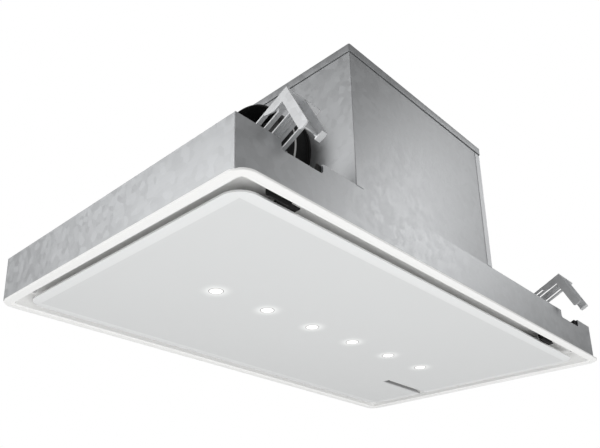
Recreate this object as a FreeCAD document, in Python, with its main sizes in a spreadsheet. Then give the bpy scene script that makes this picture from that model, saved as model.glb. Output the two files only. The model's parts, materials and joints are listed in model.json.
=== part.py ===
"""Ceiling range hood: a flush ceiling extractor with a perimeter air gap.

Frame: +X runs along the long side, +Y runs from the hinged front edge to the back edge and +Z is up.
The origin is the middle of the ceiling plane: the trim's lip lies under the ceiling from z = -lip to
z = 0, the steel body stands above it and the glass panel hangs level with the lip.
All sizes are millimetres. Every driving size is one named value in SIZES, which fills the sheet.
"""
import FreeCAD, Part
import Sketcher
import math
import os
from types import SimpleNamespace

from FreeCAD import Placement, Rotation, Vector

SIZES = {
    # lower body of galvanised sheet
    "body_x": 896.0, "body_y": 483.6, "body_top": 66.0, "sheet": 1.0, "body_flange": 14.0,
    "plate_drop": 14.0, "notch_width": 70.0, "notch_depth": 13.0,
    # trim frame: painted rim under the ceiling, stepped recess and cove round the air gap
    "trim_over_x": 2.0, "trim_over_y": 10.7, "trim_corner": 22.0, "lip": 3.0, "rim_flat": 10.0,
    "rim_step": 1.6, "seat_depth": 0.5, "seat_gap": 0.5, "cove_inset": 15.0, "cove_run": 8.0,
    "cove_top": 18.0, "cove_corner": 8.0,
    # motor box on the lower body
    "box_from_left": 200.0, "box_length": 333.0, "box_height": 209.0, "lid_lip": 12.0, "lid_gap": 0.2,
    "seam_strip": 14.0, "lid_screw_x": 100.0, "lid_screw_y": 150.0,
    # blower: four-arc scroll, impeller, motor
    "scroll_arc": 107.0, "scroll_growth": 26.0, "scroll_wall": 2.0, "scroll_lift": 8.0,
    "motor_room": 53.0, "tongue_reach": 6.0, "deck_thick": 1.5, "inlet_radius": 68.0,
    "inlet_flare": 14.0, "inlet_drop": 8.0, "inlet_neck": 4.0, "impeller_radius": 84.0,
    "blade_depth": 13.0, "blade_count": 28.0, "blade_thick": 1.6, "impeller_lift": 14.0,
    "impeller_drop": 22.0, "impeller_plate": 2.0, "impeller_band": 3.0, "hub_radius": 16.0,
    "hub_height": 26.0, "shaft_radius": 4.0, "running_gap": 0.05, "motor_radius": 56.0,
    "motor_height": 38.0, "motor_bevel": 6.0, "bracket_thick": 2.0, "bracket_arm": 24.0,
    "bracket_reach": 92.0, "deck_margin": 4.0,
    # outlet spigot, seal ring and damper
    "duct_y": -96.0, "spigot_radius": 74.0, "spigot_wall": 2.5, "spigot_length": 55.0,
    "spigot_flange": 3.0, "spigot_base": 3.0, "seal_at": 28.0, "seal_width": 3.0, "seal_rise": 0.2,
    "damper_at": 14.0, "flap_thick": 1.6, "flap_gap": 2.0, "damper_pin": 2.0, "barrel_gap": 0.3,
    # grease filters and their carrier plate
    "carrier_thick": 1.2, "filter_margin_x": 26.0, "filter_margin_y": 46.5, "filter_gap": 1.5,
    "filter_middle": 30.0, "filter_sink": 1.0, "filter_thick": 9.0, "filter_rail": 12.0,
    "mesh_inset": 3.5, "latch_width": 26.0, "latch_thick": 2.2, "latch_reach": 6.0,
    "latch_tab": 3.0, "latch_hang": 1.6, "filter_lug": 30.0, "latch_play": 0.3, "latch_travel": 7.0,
    "carrier_screw_inset": 13.0,
    # glass panel, tray, lamps and touch slot
    "gap_side": 14.0, "gap_front": 18.0, "gap_back": 11.0, "panel_corner": 28.0,
    "panel_bottom": -1.0, "glass": 4.0, "bevel_width": 14.0, "bevel_rise": 1.2,
    "tray_inset_x": 17.0, "tray_inset_y": 16.0, "tray_depth": 5.0, "tray_play": 1.0, "lamp_pitch": 102.0,
    "lamp_count": 6.0, "lamp_x": 0.0, "lamp_y": 0.0, "lamp_radius": 9.5, "lamp_can": 14.0,
    "lamp_can_height": 7.5, "slot_length": 137.0, "slot_width": 14.0, "slot_y": 98.0,
    "slot_wall": 1.5, "slot_rise": 5.0, "window_length": 20.0, "window_depth": 4.0,
    "key_length": 16.0, "key_at": 44.0, "key_height": 2.0, "key_play": 0.3, "key_flange": 1.0,
    # panel hinges and catches
    "hinge_inset": 7.5, "hinge_from_left": 33.0, "hinge_from_right": 163.0,
    "hinge_block": 20.0, "knuckle": 12.0, "knuckle_radius": 4.5, "hinge_pin": 2.0,
    "hinge_side_gap": 0.4, "strap_length": 52.0, "strap_thick": 2.0, "catch_inset": 121.0,
    "catch_length": 40.0, "catch_width": 14.0, "catch_gap": 0.5, "striker": 1.0,
    # ceiling clamps
    "clamp_from_left": 103.0, "clamp_from_right": 85.0, "pivot_inset": 59.8, "pivot_lift": 46.5,
    "claw_tilt": 26.0, "claw_leg": 73.0, "claw_width": 58.0,
    "claw_thick": 2.0, "claw_tube": 6.0, "clamp_pin": 3.0, "arm_width": 13.0, "arm_pitch": 31.0,
    "arm_length": 68.0, "web_inset": 9.0, "arm_tip": 9.0, "claw_slot": 7.0, "lug_gap": 0.5,
    "lug_thick": 2.5, "lug_reach": 8.0,
    # electrics
    "case_gap": 25.0, "case_y": -50.0, "case_length": 150.0, "case_width": 100.0,
    "case_height": 38.0, "case_wall": 2.0, "case_screw_inset": 8.0, "gland_radius": 9.0,
    "gland_bore": 4.0, "gland_length": 16.0, "capacitor_radius": 17.0, "capacitor_length": 62.0,
    "capacitor_inset": 29.3,
    # screws
    "screw_head": 3.5, "screw_height": 1.8,
}


class Size:
    """A number together with the expression that gives it from the sheet."""

    def __init__(self, value, text):
        self.value = float(value)
        self.text = text

    @staticmethod
    def of(other):
        """The other operand as a Size: a plain number keeps its own digits as its expression."""
        return other if isinstance(other, Size) else Size(other, "%.6f" % other)

    def __add__(self, other):
        other = Size.of(other)
        return Size(self.value + other.value, "(%s + %s)" % (self.text, other.text))

    def __sub__(self, other):
        other = Size.of(other)
        return Size(self.value - other.value, "(%s - %s)" % (self.text, other.text))

    def __mul__(self, other):
        other = Size.of(other)
        return Size(self.value * other.value, "(%s * %s)" % (self.text, other.text))

    def __truediv__(self, other):
        other = Size.of(other)
        return Size(self.value / other.value, "(%s / %s)" % (self.text, other.text))

    def __neg__(self):
        return Size(-self.value, "(0 - %s)" % self.text)

    def __radd__(self, other):
        return Size.of(other) + self

    def __rsub__(self, other):
        return Size.of(other) - self

    def __rmul__(self, other):
        return Size.of(other) * self


doc = FreeCAD.newDocument("CeilingHood")
sheet = doc.addObject("Spreadsheet::Sheet", "Sizes")
for row, (alias, number) in enumerate(SIZES.items(), start=1):
    sheet.set("A%d" % row, alias)
    sheet.set("B%d" % row, "%g" % number)
    sheet.setAlias("B%d" % row, alias)
doc.recompute()
S = SimpleNamespace(**{alias: Size(number, "Sizes." + alias) for alias, number in SIZES.items()})

NODES = {}
ZERO = Size(0, "0")


def bind(thing, path, amount):
    """Drive one property of an object from the sheet."""
    thing.setExpression(path, Size.of(amount).text)


def move(thing, x, y, z):
    """Put an object's placement at a point given in sheet sizes."""
    bind(thing, "Placement.Base.x", x)
    bind(thing, "Placement.Base.y", y)
    bind(thing, "Placement.Base.z", z)


def node(label, thing):
    """Name a finished sub-part: its label is the name of its file."""
    thing.Label = label
    NODES[label] = thing
    return thing


# ---------------------------------------------------------------- Part primitives and booleans
def block(x0, x1, y0, y1, z0, z1):
    """A box between three pairs of limits."""
    thing = doc.addObject("Part::Box", "Block")
    bind(thing, "Length", Size.of(x1) - x0)
    bind(thing, "Width", Size.of(y1) - y0)
    bind(thing, "Height", Size.of(z1) - z0)
    move(thing, x0, y0, z0)
    return thing


AXIS_TURN = {"X": Rotation(Vector(0, 1, 0), 90), "Y": Rotation(Vector(1, 0, 0), -90), "Z": Rotation()}


def rod(axis, radius, length, x, y, z):
    """A cylinder that starts at a point and runs along +X, +Y or +Z."""
    thing = doc.addObject("Part::Cylinder", "Rod")
    bind(thing, "Radius", radius)
    bind(thing, "Height", length)
    thing.Placement = Placement(Vector(), AXIS_TURN[axis])
    move(thing, x, y, z)
    return thing


def join(*things):
    """The union of several objects."""
    thing = doc.addObject("Part::MultiFuse", "Join")
    thing.Shapes = list(things)
    return thing


def cut(base, *tools):
    """The base with every tool taken out of it."""
    thing = doc.addObject("Part::Cut", "Cut")
    thing.Base = base
    thing.Tool = tools[0] if len(tools) == 1 else join(*tools)
    return thing


def group(*things):
    """Several separate solids under one name."""
    thing = doc.addObject("Part::Compound", "Group")
    thing.Links = list(things)
    return thing


# ---------------------------------------------------------------- PartDesign bodies
def part_body(label):
    """A new body, entered as the sub-part of this name."""
    return node(label, doc.addObject("PartDesign::Body", "Body"))


def flat(body, role, height=ZERO):
    """A sketch of a body on one of its origin planes, lifted along the plane's normal."""
    plane = next(f for f in body.Origin.OriginFeatures if f.Role == role)
    sketch = body.newObject("Sketcher::SketchObject", "Sketch")
    sketch.AttachmentSupport = [(plane, "")]
    sketch.MapMode = "FlatFace"
    bind(sketch, "AttachmentOffset.Base.z", height)
    return sketch


def pin_coordinate(sketch, kind, geometry, end, amount):
    """Hold one coordinate of a sketch point at a sheet size, whichever side of the origin it is."""
    amount = Size.of(amount)
    if abs(amount.value) < 1e-9:
        against = -2 if kind == "DistanceX" else -1
        sketch.addConstraint(Sketcher.Constraint("PointOnObject", geometry, end, against))
        return
    if amount.value > 0:
        index = sketch.addConstraint(Sketcher.Constraint(kind, -1, 1, geometry, end, amount.value))
    else:
        amount = -amount
        index = sketch.addConstraint(Sketcher.Constraint(kind, geometry, end, -1, 1, amount.value))
    sketch.setExpression("Constraints[%d]" % index, amount.text)


def outline(sketch, points):
    """A closed outline of straight lines through points given in sheet sizes."""
    flat_points = [Vector(Size.of(x).value, Size.of(y).value, 0) for x, y in points]
    first = sketch.GeometryCount
    count = len(points)
    for i, start in enumerate(flat_points):
        sketch.addGeometry(Part.LineSegment(start, flat_points[(i + 1) % count]), False)
    for i in range(count):
        following = first + (i + 1) % count
        sketch.addConstraint(Sketcher.Constraint("Coincident", first + i, 2, following, 1))
    for i, (x, y) in enumerate(points):
        pin_coordinate(sketch, "DistanceX", first + i, 1, x)
        pin_coordinate(sketch, "DistanceY", first + i, 1, y)


def rectangle(sketch, x0, x1, y0, y1):
    """A rectangle between two pairs of limits."""
    outline(sketch, [(x0, y0), (x1, y0), (x1, y1), (x0, y1)])


def circle(sketch, x, y, radius):
    """A circle about a point."""
    radius = Size.of(radius)
    centre = Vector(Size.of(x).value, Size.of(y).value, 0)
    index = sketch.addGeometry(Part.Circle(centre, Vector(0, 0, 1), radius.value), False)
    pin_coordinate(sketch, "DistanceX", index, 3, x)
    pin_coordinate(sketch, "DistanceY", index, 3, y)
    limit = sketch.addConstraint(Sketcher.Constraint("Radius", index, radius.value))
    sketch.setExpression("Constraints[%d]" % limit, radius.text)


def pad(body, sketch, length):
    """Material from a sketch along its normal."""
    feature = body.newObject("PartDesign::Pad", "Pad")
    feature.Profile = sketch
    bind(feature, "Length", length)
    sketch.Visibility = False
    body.Tip = feature
    return feature


def pocket(body, sketch, length, forward=True):
    """A recess from a sketch along its normal, or against it."""
    doc.recompute()
    before = body.Shape.Volume
    feature = body.newObject("PartDesign::Pocket", "Pocket")
    feature.Profile = sketch
    bind(feature, "Length", length)
    feature.Reversed = forward
    body.Tip = feature
    doc.recompute()
    if body.Shape.Volume >= before:
        raise RuntimeError("a pocket of %s cut nothing" % body.Label)
    return feature


def revolve(body, sketch, axis):
    """A solid of revolution about a sketch axis."""
    feature = body.newObject("PartDesign::Revolution", "Revolution")
    feature.Profile = sketch
    feature.ReferenceAxis = (sketch, [axis])
    feature.Angle = 360
    body.Tip = feature
    return feature


def upright_edges(body, corners, tolerance=0.5):
    """The names of a body's vertical edges that stand at the given plan points."""
    doc.recompute()
    names = []
    for i, edge in enumerate(body.Shape.Edges, start=1):
        low, high = edge.Vertexes[0].Point, edge.Vertexes[-1].Point
        upright = abs(low.x - high.x) < tolerance and abs(low.y - high.y) < tolerance
        near = any(abs(low.x - x) < tolerance and abs(low.y - y) < tolerance for x, y in corners)
        if upright and near and abs(low.z - high.z) > 1e-6:
            names.append("Edge%d" % i)
    return names


def round_corners(body, half_x, half_y, radius, middle_y=ZERO):
    """A fillet on the four upright edges of a rectangle about x = 0."""
    corners = [(sx * half_x.value, middle_y.value + sy * half_y.value) for sx in (-1, 1) for sy in (-1, 1)]
    names = upright_edges(body, corners)
    if len(names) < 4:
        raise RuntimeError("corners of %s not found" % body.Label)
    base = body.Tip
    feature = body.newObject("PartDesign::Fillet", "Fillet")
    feature.Base = (base, names)
    bind(feature, "Radius", radius)
    body.Tip = feature
    return feature


def lofted_frame(low_x, low_y, low_z, high_x, high_y, high_z, thick, corner):
    """A sloping four-sided sleeve of constant thickness, as one Part shape with rounded corners."""

    def ring(half_x, half_y, z, radius):
        lines = Part.makePlane(2 * half_x, 2 * half_y, Vector(-half_x, -half_y, z)).Wires[0]
        face = Part.Face(lines)
        solid = face.extrude(Vector(0, 0, 1))
        upright = [e for e in solid.Edges if abs(e.Vertexes[0].Z - e.Vertexes[-1].Z) > 0.5]
        rounded = solid.makeFillet(radius, upright)
        lowest = min(rounded.Faces, key=lambda f: f.CenterOfMass.z)
        return lowest.OuterWire

    outer = Part.makeLoft([ring(low_x + thick, low_y + thick, low_z, corner + thick),
                           ring(high_x + thick, high_y + thick, high_z, corner + thick)], True, True)
    inner = Part.makeLoft([ring(low_x, low_y, low_z, corner), ring(high_x, high_y, high_z, corner)],
                          True, True)
    return outer.cut(inner)


# ---------------------------------------------------------------- trim frame
half_body_x = S.body_x / 2
half_body_y = S.body_y / 2
half_trim_x = half_body_x + S.trim_over_x
half_trim_y = half_body_y + S.trim_over_y
recess_x = half_trim_x - S.rim_flat
recess_y = half_trim_y - S.rim_flat
cove_x = half_trim_x - S.cove_inset
cove_y = half_trim_y - S.cove_inset
mouth_x = cove_x - S.cove_run
mouth_y = cove_y - S.cove_run


def make_trim_frame():
    """Flat rim with a shallow seat for the body's walls, a stepped recess, and a cove up to the carrier."""
    rim = doc.addObject("PartDesign::Body", "Rim")
    plan = flat(rim, "XY_Plane", -S.lip)
    rectangle(plan, -half_trim_x, half_trim_x, -half_trim_y, half_trim_y)
    pad(rim, plan, S.lip)
    round_corners(rim, half_trim_x, half_trim_y, S.trim_corner)
    recess = flat(rim, "XY_Plane", -S.lip)
    rectangle(recess, -recess_x, recess_x, -recess_y, recess_y)
    pocket(rim, recess, S.rim_step)
    seat = flat(rim, "XY_Plane", -S.seat_depth)
    seat_x, seat_y = half_body_x + S.seat_gap, half_body_y + S.seat_gap
    rectangle(seat, -seat_x, seat_x, -seat_y, seat_y)
    pocket(rim, seat, S.seat_depth)
    opening = flat(rim, "XY_Plane", -S.lip)
    rectangle(opening, -cove_x, cove_x, -cove_y, cove_y)
    pocket(rim, opening, S.lip)
    round_corners(rim, cove_x, cove_y, S.cove_corner)
    cove = doc.addObject("Part::Feature", "Cove")
    cove.Shape = lofted_frame(cove_x.value, cove_y.value, S.rim_step.value - S.lip.value, mouth_x.value,
                              mouth_y.value, S.cove_top.value, S.sheet.value, S.cove_corner.value)
    node("trim_frame", join(rim, cove))


# ---------------------------------------------------------------- lower body
inner_body_x = half_body_x - S.sheet
inner_body_y = half_body_y - S.sheet
plate_top = S.body_top - S.plate_drop
box_left = S.box_from_left - half_body_x
box_right = box_left + S.box_length
box_top = S.body_top + S.box_height
box_wall_left = box_left + S.sheet
box_wall_right = box_right - S.sheet
CLAMP_ENDS = {"left": S.clamp_from_left - half_body_x, "right": half_body_x - S.clamp_from_right}


def make_body_shell():
    """Four walls with an inward top flange, notched in front and behind for the four clamps."""
    foot = -S.seat_depth
    walls = cut(block(-half_body_x, half_body_x, -half_body_y, half_body_y, foot, S.body_top),
                block(-inner_body_x, inner_body_x, -inner_body_y, inner_body_y, foot - 1, S.body_top + 1))
    flange_x = inner_body_x - S.body_flange
    flange_y = inner_body_y - S.body_flange
    flange = cut(block(-inner_body_x, inner_body_x, -inner_body_y, inner_body_y,
                       S.body_top - S.sheet, S.body_top),
                 block(-flange_x, flange_x, -flange_y, flange_y, S.body_top - 2 * S.sheet, S.body_top + 1))
    notches = []
    for side in (-1, 1):
        for middle in CLAMP_ENDS.values():
            edge = half_body_y * side
            inner = flange_y * side
            low, high = (edge - 1, inner + 1) if side < 0 else (inner - 1, edge + 1)
            notches.append(block(middle - S.notch_width / 2, middle + S.notch_width / 2, low, high,
                                 S.body_top - S.notch_depth, S.body_top + 1))
    box_gap = block(box_wall_left, box_wall_right, -inner_body_y, inner_body_y,
                    S.body_top - 2 * S.sheet, S.body_top + 1)
    node("body_shell", cut(join(walls, flange), *notches, box_gap))


def make_body_top_plate():
    """Recessed top of the air chamber, open below the motor box."""
    plate = block(-inner_body_x, inner_body_x, -inner_body_y, inner_body_y,
                  plate_top - S.sheet, plate_top)
    way_up = block(box_wall_left, box_wall_right, -inner_body_y + S.body_flange,
                   inner_body_y - S.body_flange, plate_top - 2 * S.sheet, plate_top + 1)
    node("body_top_plate", cut(plate, way_up))


# ---------------------------------------------------------------- motor box
def make_motor_box():
    """Upper housing: four walls on the body, skirts down to the plate, a lapped seam and a duct hole."""
    outer = block(box_left, box_right, -half_body_y, half_body_y, S.body_top, box_top - S.sheet)
    inner = block(box_wall_left, box_wall_right, -inner_body_y, inner_body_y,
                  S.body_top - 1, box_top)
    skirt_y = inner_body_y - S.body_flange
    skirts = [block(box_left, box_wall_left, -skirt_y, skirt_y, plate_top, S.body_top),
              block(box_wall_right, box_right, -skirt_y, skirt_y, plate_top, S.body_top)]
    seams = []
    for side in (-1, 1):
        near = half_body_y * side
        low, high = (near - S.sheet / 2, near) if side < 0 else (near, near + S.sheet / 2)
        for start in (box_left, box_right - S.seam_strip):
            seams.append(block(start, start + S.seam_strip, low, high, S.body_top,
                               box_top - S.lid_lip - 2 * S.sheet))
    hole = doc.addObject("Part::Common", "DuctHole")
    hole.Base = rod("X", S.spigot_radius - S.spigot_wall, 4 * S.sheet, box_left - 2 * S.sheet,
                    S.duct_y, duct_z)
    hole.Tool = block(box_left - 2 * S.sheet, box_left + 2 * S.sheet, -half_body_y, ZERO,
                      scroll_bottom + S.scroll_wall, scroll_top - S.scroll_wall)
    node("motor_box", cut(join(cut(outer, inner), *skirts, *seams), hole))


def make_motor_box_lid():
    """Flat cover with a lip turned down outside the walls."""
    reach = S.sheet / 2 + S.lid_gap
    left, right = box_left - reach - S.sheet, box_right + reach + S.sheet
    front = half_body_y + reach + S.sheet
    cover = block(left, right, -front, front, box_top - S.lid_lip, box_top)
    hollow = block(left + S.sheet, right - S.sheet, -front + S.sheet, front - S.sheet,
                   box_top - S.lid_lip - 1, box_top - S.sheet)
    node("motor_box_lid", cut(cover, hollow))
    level = box_top - S.lid_lip / 2
    heads = [rod("Y", S.screw_head, S.screw_height, fan_x + side * S.lid_screw_x, front, level)
             for side in (-1, 1)]
    heads += [rod("X", S.screw_head, S.screw_height, right, side * S.lid_screw_y, level)
              for side in (-1, 1)]
    node("lid_screws", group(*heads))


# ---------------------------------------------------------------- blower
fan_x = (box_left + box_right) / 2
fan_y = ZERO
scroll_bottom = S.body_top + S.scroll_lift
scroll_top = box_top - S.motor_room
impeller_bottom = scroll_bottom + S.impeller_lift
impeller_top = scroll_top - S.impeller_drop
duct_z = (scroll_bottom + scroll_top) / 2


def scroll_face(shrink, z):
    """The scroll's plan as a face: three quarter arcs that grow by one step each, and the outlet."""
    growth = S.scroll_growth.value
    first = S.scroll_arc.value - shrink
    cx = fan_x.value + growth / 2
    cy = fan_y.value + growth / 2
    arcs = []
    radius = first
    centre = Vector(cx, cy, z)
    for start, offset in ((180, Vector(0, -growth, 0)), (90, Vector(-growth, 0, 0)), (0, Vector())):
        points = [centre + radius * Vector(math.cos(math.radians(start - turn)),
                                           math.sin(math.radians(start - turn)), 0)
                  for turn in (0, 45, 90)]
        arcs.append(Part.Arc(*points).toShape())
        centre = centre + offset
        radius = radius + growth
    last = arcs[-1].Vertexes[-1].Point
    begin = arcs[0].Vertexes[0].Point
    bore = S.spigot_radius.value - S.spigot_wall.value
    wall = box_left.value + S.sheet.value
    far = Vector(wall, last.y, z)
    near = Vector(wall, S.duct_y.value + bore - shrink, z)
    tongue = Vector(begin.x - S.tongue_reach.value, near.y, z)
    loop = [last, far, near, tongue, begin]
    lines = [Part.LineSegment(a, b).toShape() for a, b in zip(loop, loop[1:])]
    return Part.Face(Part.Wire(Part.__sortEdges__(arcs + lines)))


def make_blower():
    """Scroll housing in three pieces, inlet ring, impeller, shaft, motor, its bracket and the capacitor."""
    wall = S.scroll_wall.value
    low = scroll_bottom.value
    high = scroll_top.value - wall
    mouth_reach = S.spigot_radius.value - S.spigot_wall.value - wall
    centre = Vector(fan_x.value, fan_y.value, 0)
    eye = Part.makeCylinder(S.inlet_radius.value, 3 * wall, centre + Vector(0, 0, low - wall))
    crown = Part.makeCylinder(S.hub_radius.value, 3 * wall, centre + Vector(0, 0, high - wall))
    mouth = Part.makeBox(3 * wall, 2 * mouth_reach, high - low - wall,
                         Vector(box_left.value, S.duct_y.value - mouth_reach, low + wall))
    side = Vector(0, 0, high - low - wall)
    hollow = scroll_face(wall, low + wall).extrude(side)
    spiral = scroll_face(0, low + wall).extrude(side).cut([hollow, mouth])
    for label, shape in (("scroll_floor", scroll_face(0, low).extrude(Vector(0, 0, wall)).cut(eye)),
                         ("blower_scroll", spiral),
                         ("scroll_cover", scroll_face(0, high).extrude(Vector(0, 0, wall)).cut(crown))):
        piece = doc.addObject("Part::Feature", "Scroll")
        piece.Shape = shape
        node(label, piece)
    deck = block(box_wall_left, box_wall_right, -inner_body_y, inner_body_y,
                 scroll_bottom - S.deck_thick, scroll_bottom)
    node("blower_deck", cut(deck, rod("Z", S.inlet_radius + S.deck_margin, 3 * S.deck_thick, fan_x, fan_y,
                                      scroll_bottom - 2 * S.deck_thick)))

    ring = part_body("inlet_ring")
    profile = flat(ring, "XZ_Plane")
    low = scroll_bottom - S.inlet_drop
    neck = scroll_bottom + S.inlet_neck
    outline(profile, [(S.inlet_radius - S.scroll_wall, neck),
                      (S.inlet_radius - S.scroll_wall, scroll_bottom),
                      (S.inlet_radius + S.inlet_flare, low),
                      (S.inlet_radius + S.inlet_flare, low + S.scroll_wall),
                      (S.inlet_radius, scroll_bottom), (S.inlet_radius, neck)])
    revolve(ring, profile, "V_Axis")
    move(ring, fan_x, fan_y, ZERO)

    wheel = part_body("impeller")
    profile = flat(wheel, "XZ_Plane")
    under = impeller_top - S.impeller_plate
    hub_low = impeller_top - S.hub_height
    bore = S.shaft_radius
    outline(profile, [(bore, hub_low), (S.hub_radius, hub_low), (S.hub_radius, under),
                      (S.impeller_radius, under), (S.impeller_radius, impeller_top), (bore, impeller_top)])
    revolve(wheel, profile, "V_Axis")
    move(wheel, fan_x, fan_y, ZERO)
    band = part_body("impeller_band")
    rim = flat(band, "XY_Plane", impeller_bottom - S.impeller_band)
    circle(rim, ZERO, ZERO, S.impeller_radius)
    circle(rim, ZERO, ZERO, S.impeller_radius - S.blade_depth)
    pad(band, rim, S.impeller_band)
    move(band, fan_x, fan_y, ZERO)
    blades = []
    for i in range(int(SIZES["blade_count"])):
        blade = block(S.impeller_radius - S.blade_depth + S.blade_thick, S.impeller_radius - S.blade_thick,
                      -S.blade_thick / 2, S.blade_thick / 2, impeller_bottom, under)
        turned = doc.addObject("Part::Compound", "Blade")
        turned.Links = [blade]
        turned.Placement = Placement(Vector(), Rotation(Vector(0, 0, 1), 360.0 * i / SIZES["blade_count"]))
        move(turned, fan_x, fan_y, ZERO)
        blades.append(turned)
    node("impeller_blades", group(*blades))

    motor_low = scroll_top + S.bracket_thick
    node("impeller_shaft", rod("Z", S.shaft_radius, motor_low + S.motor_height / 2 - hub_low,
                               fan_x, fan_y, hub_low))
    motor = part_body("fan_motor")
    profile = flat(motor, "XZ_Plane")
    clear = S.shaft_radius + S.running_gap
    outline(profile, [(clear, motor_low), (S.motor_radius, motor_low),
                      (S.motor_radius, motor_low + S.motor_height - S.motor_bevel),
                      (S.motor_radius - S.motor_bevel, motor_low + S.motor_height),
                      (ZERO, motor_low + S.motor_height),
                      (ZERO, motor_low + S.motor_height / 2 + 1),
                      (clear, motor_low + S.motor_height / 2 + 1)])
    revolve(motor, profile, "V_Axis")
    move(motor, fan_x, fan_y, ZERO)

    reach = S.bracket_reach
    half_arm = S.bracket_arm / 2
    spider = join(block(fan_x - reach, fan_x + reach, fan_y - half_arm, fan_y + half_arm,
                        scroll_top, motor_low),
                  block(fan_x - half_arm, fan_x + half_arm, fan_y - reach, fan_y + reach,
                        scroll_top, motor_low),
                  rod("Z", S.motor_radius, S.bracket_thick, fan_x, fan_y, scroll_top))
    node("motor_bracket", cut(spider, rod("Z", S.hub_radius, 3 * S.bracket_thick, fan_x, fan_y,
                                          scroll_top - S.bracket_thick)))
    node("run_capacitor", rod("Y", S.capacitor_radius, S.capacitor_length, fan_x,
                              inner_body_y - S.capacitor_inset - S.capacitor_length,
                              scroll_bottom + S.capacitor_radius))


# ---------------------------------------------------------------- outlet spigot and damper
spigot_bore = S.spigot_radius - S.spigot_wall
spigot_mouth = box_left - S.spigot_length
damper_x = box_left - S.damper_at
flap_radius = spigot_bore - S.flap_gap


def make_outlet():
    """Plastic spigot with its flange, a pale lip seal round it and two flaps on one upright pin."""
    tube = join(rod("X", S.spigot_radius, S.spigot_length, spigot_mouth, S.duct_y, duct_z),
                rod("X", S.spigot_radius + S.spigot_flange, S.spigot_base,
                    box_left - S.spigot_base, S.duct_y, duct_z))
    bore = rod("X", spigot_bore, S.spigot_length + 2, spigot_mouth - 1, S.duct_y, duct_z)
    pin_reach = spigot_bore + S.spigot_wall / 2
    pin_hole = rod("Z", S.damper_pin, 2 * pin_reach, damper_x, S.duct_y, duct_z - pin_reach)
    node("outlet_spigot", cut(tube, bore, pin_hole))
    seal_x = box_left - S.seal_at
    node("spigot_seal", cut(rod("X", S.spigot_radius + S.seal_rise, S.seal_width, seal_x, S.duct_y, duct_z),
                            rod("X", S.spigot_radius, S.seal_width + 2, seal_x - 1, S.duct_y, duct_z)))
    node("damper_pin", rod("Z", S.damper_pin, 2 * pin_reach, damper_x, S.duct_y, duct_z - pin_reach))
    knuckle = S.damper_pin + S.flap_thick
    root = knuckle + S.flap_gap / 4
    third = flap_radius * 2 / 3
    for label, side in (("damper_flap_front", -1), ("damper_flap_back", 1)):
        disc = rod("X", flap_radius, S.flap_thick, damper_x - S.flap_thick / 2, S.duct_y, duct_z)
        start = S.duct_y - flap_radius - 1 if side < 0 else S.duct_y + root
        stop = S.duct_y - root if side < 0 else S.duct_y + flap_radius + 1
        half = doc.addObject("Part::Common", "Half")
        half.Base = disc
        half.Tool = block(damper_x - 2, damper_x + 2, start, stop,
                          duct_z - flap_radius - 1, duct_z + flap_radius + 1)
        if side < 0:
            spans = [(duct_z - third, duct_z - S.barrel_gap)]
        else:
            spans = [(duct_z + S.barrel_gap, duct_z + third)]
        barrels = [rod("Z", knuckle, high - low, damper_x, S.duct_y, low) for low, high in spans]
        webs = []
        for low, high in spans:
            y0, y1 = (S.duct_y - root, S.duct_y) if side < 0 else (S.duct_y, S.duct_y + root)
            webs.append(block(damper_x - S.flap_thick / 2, damper_x + S.flap_thick / 2, y0, y1, low, high))
        axle = rod("Z", S.damper_pin + S.running_gap, 2 * flap_radius, damper_x, S.duct_y,
                   duct_z - flap_radius)
        node(label, cut(join(half, *barrels, *webs), axle))


# ---------------------------------------------------------------- filters
carrier_top = S.cove_top + S.carrier_thick
filter_x = mouth_x - S.filter_margin_x - S.filter_middle / 2
filter_y = 2 * (mouth_y - S.filter_margin_y)
filter_bottom = S.cove_top - S.filter_sink
filter_top = filter_bottom + S.filter_thick
filter_step = filter_x + S.filter_middle
opening_x = filter_x / 2 + S.filter_gap
opening_y = filter_y / 2 + S.filter_gap


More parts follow.
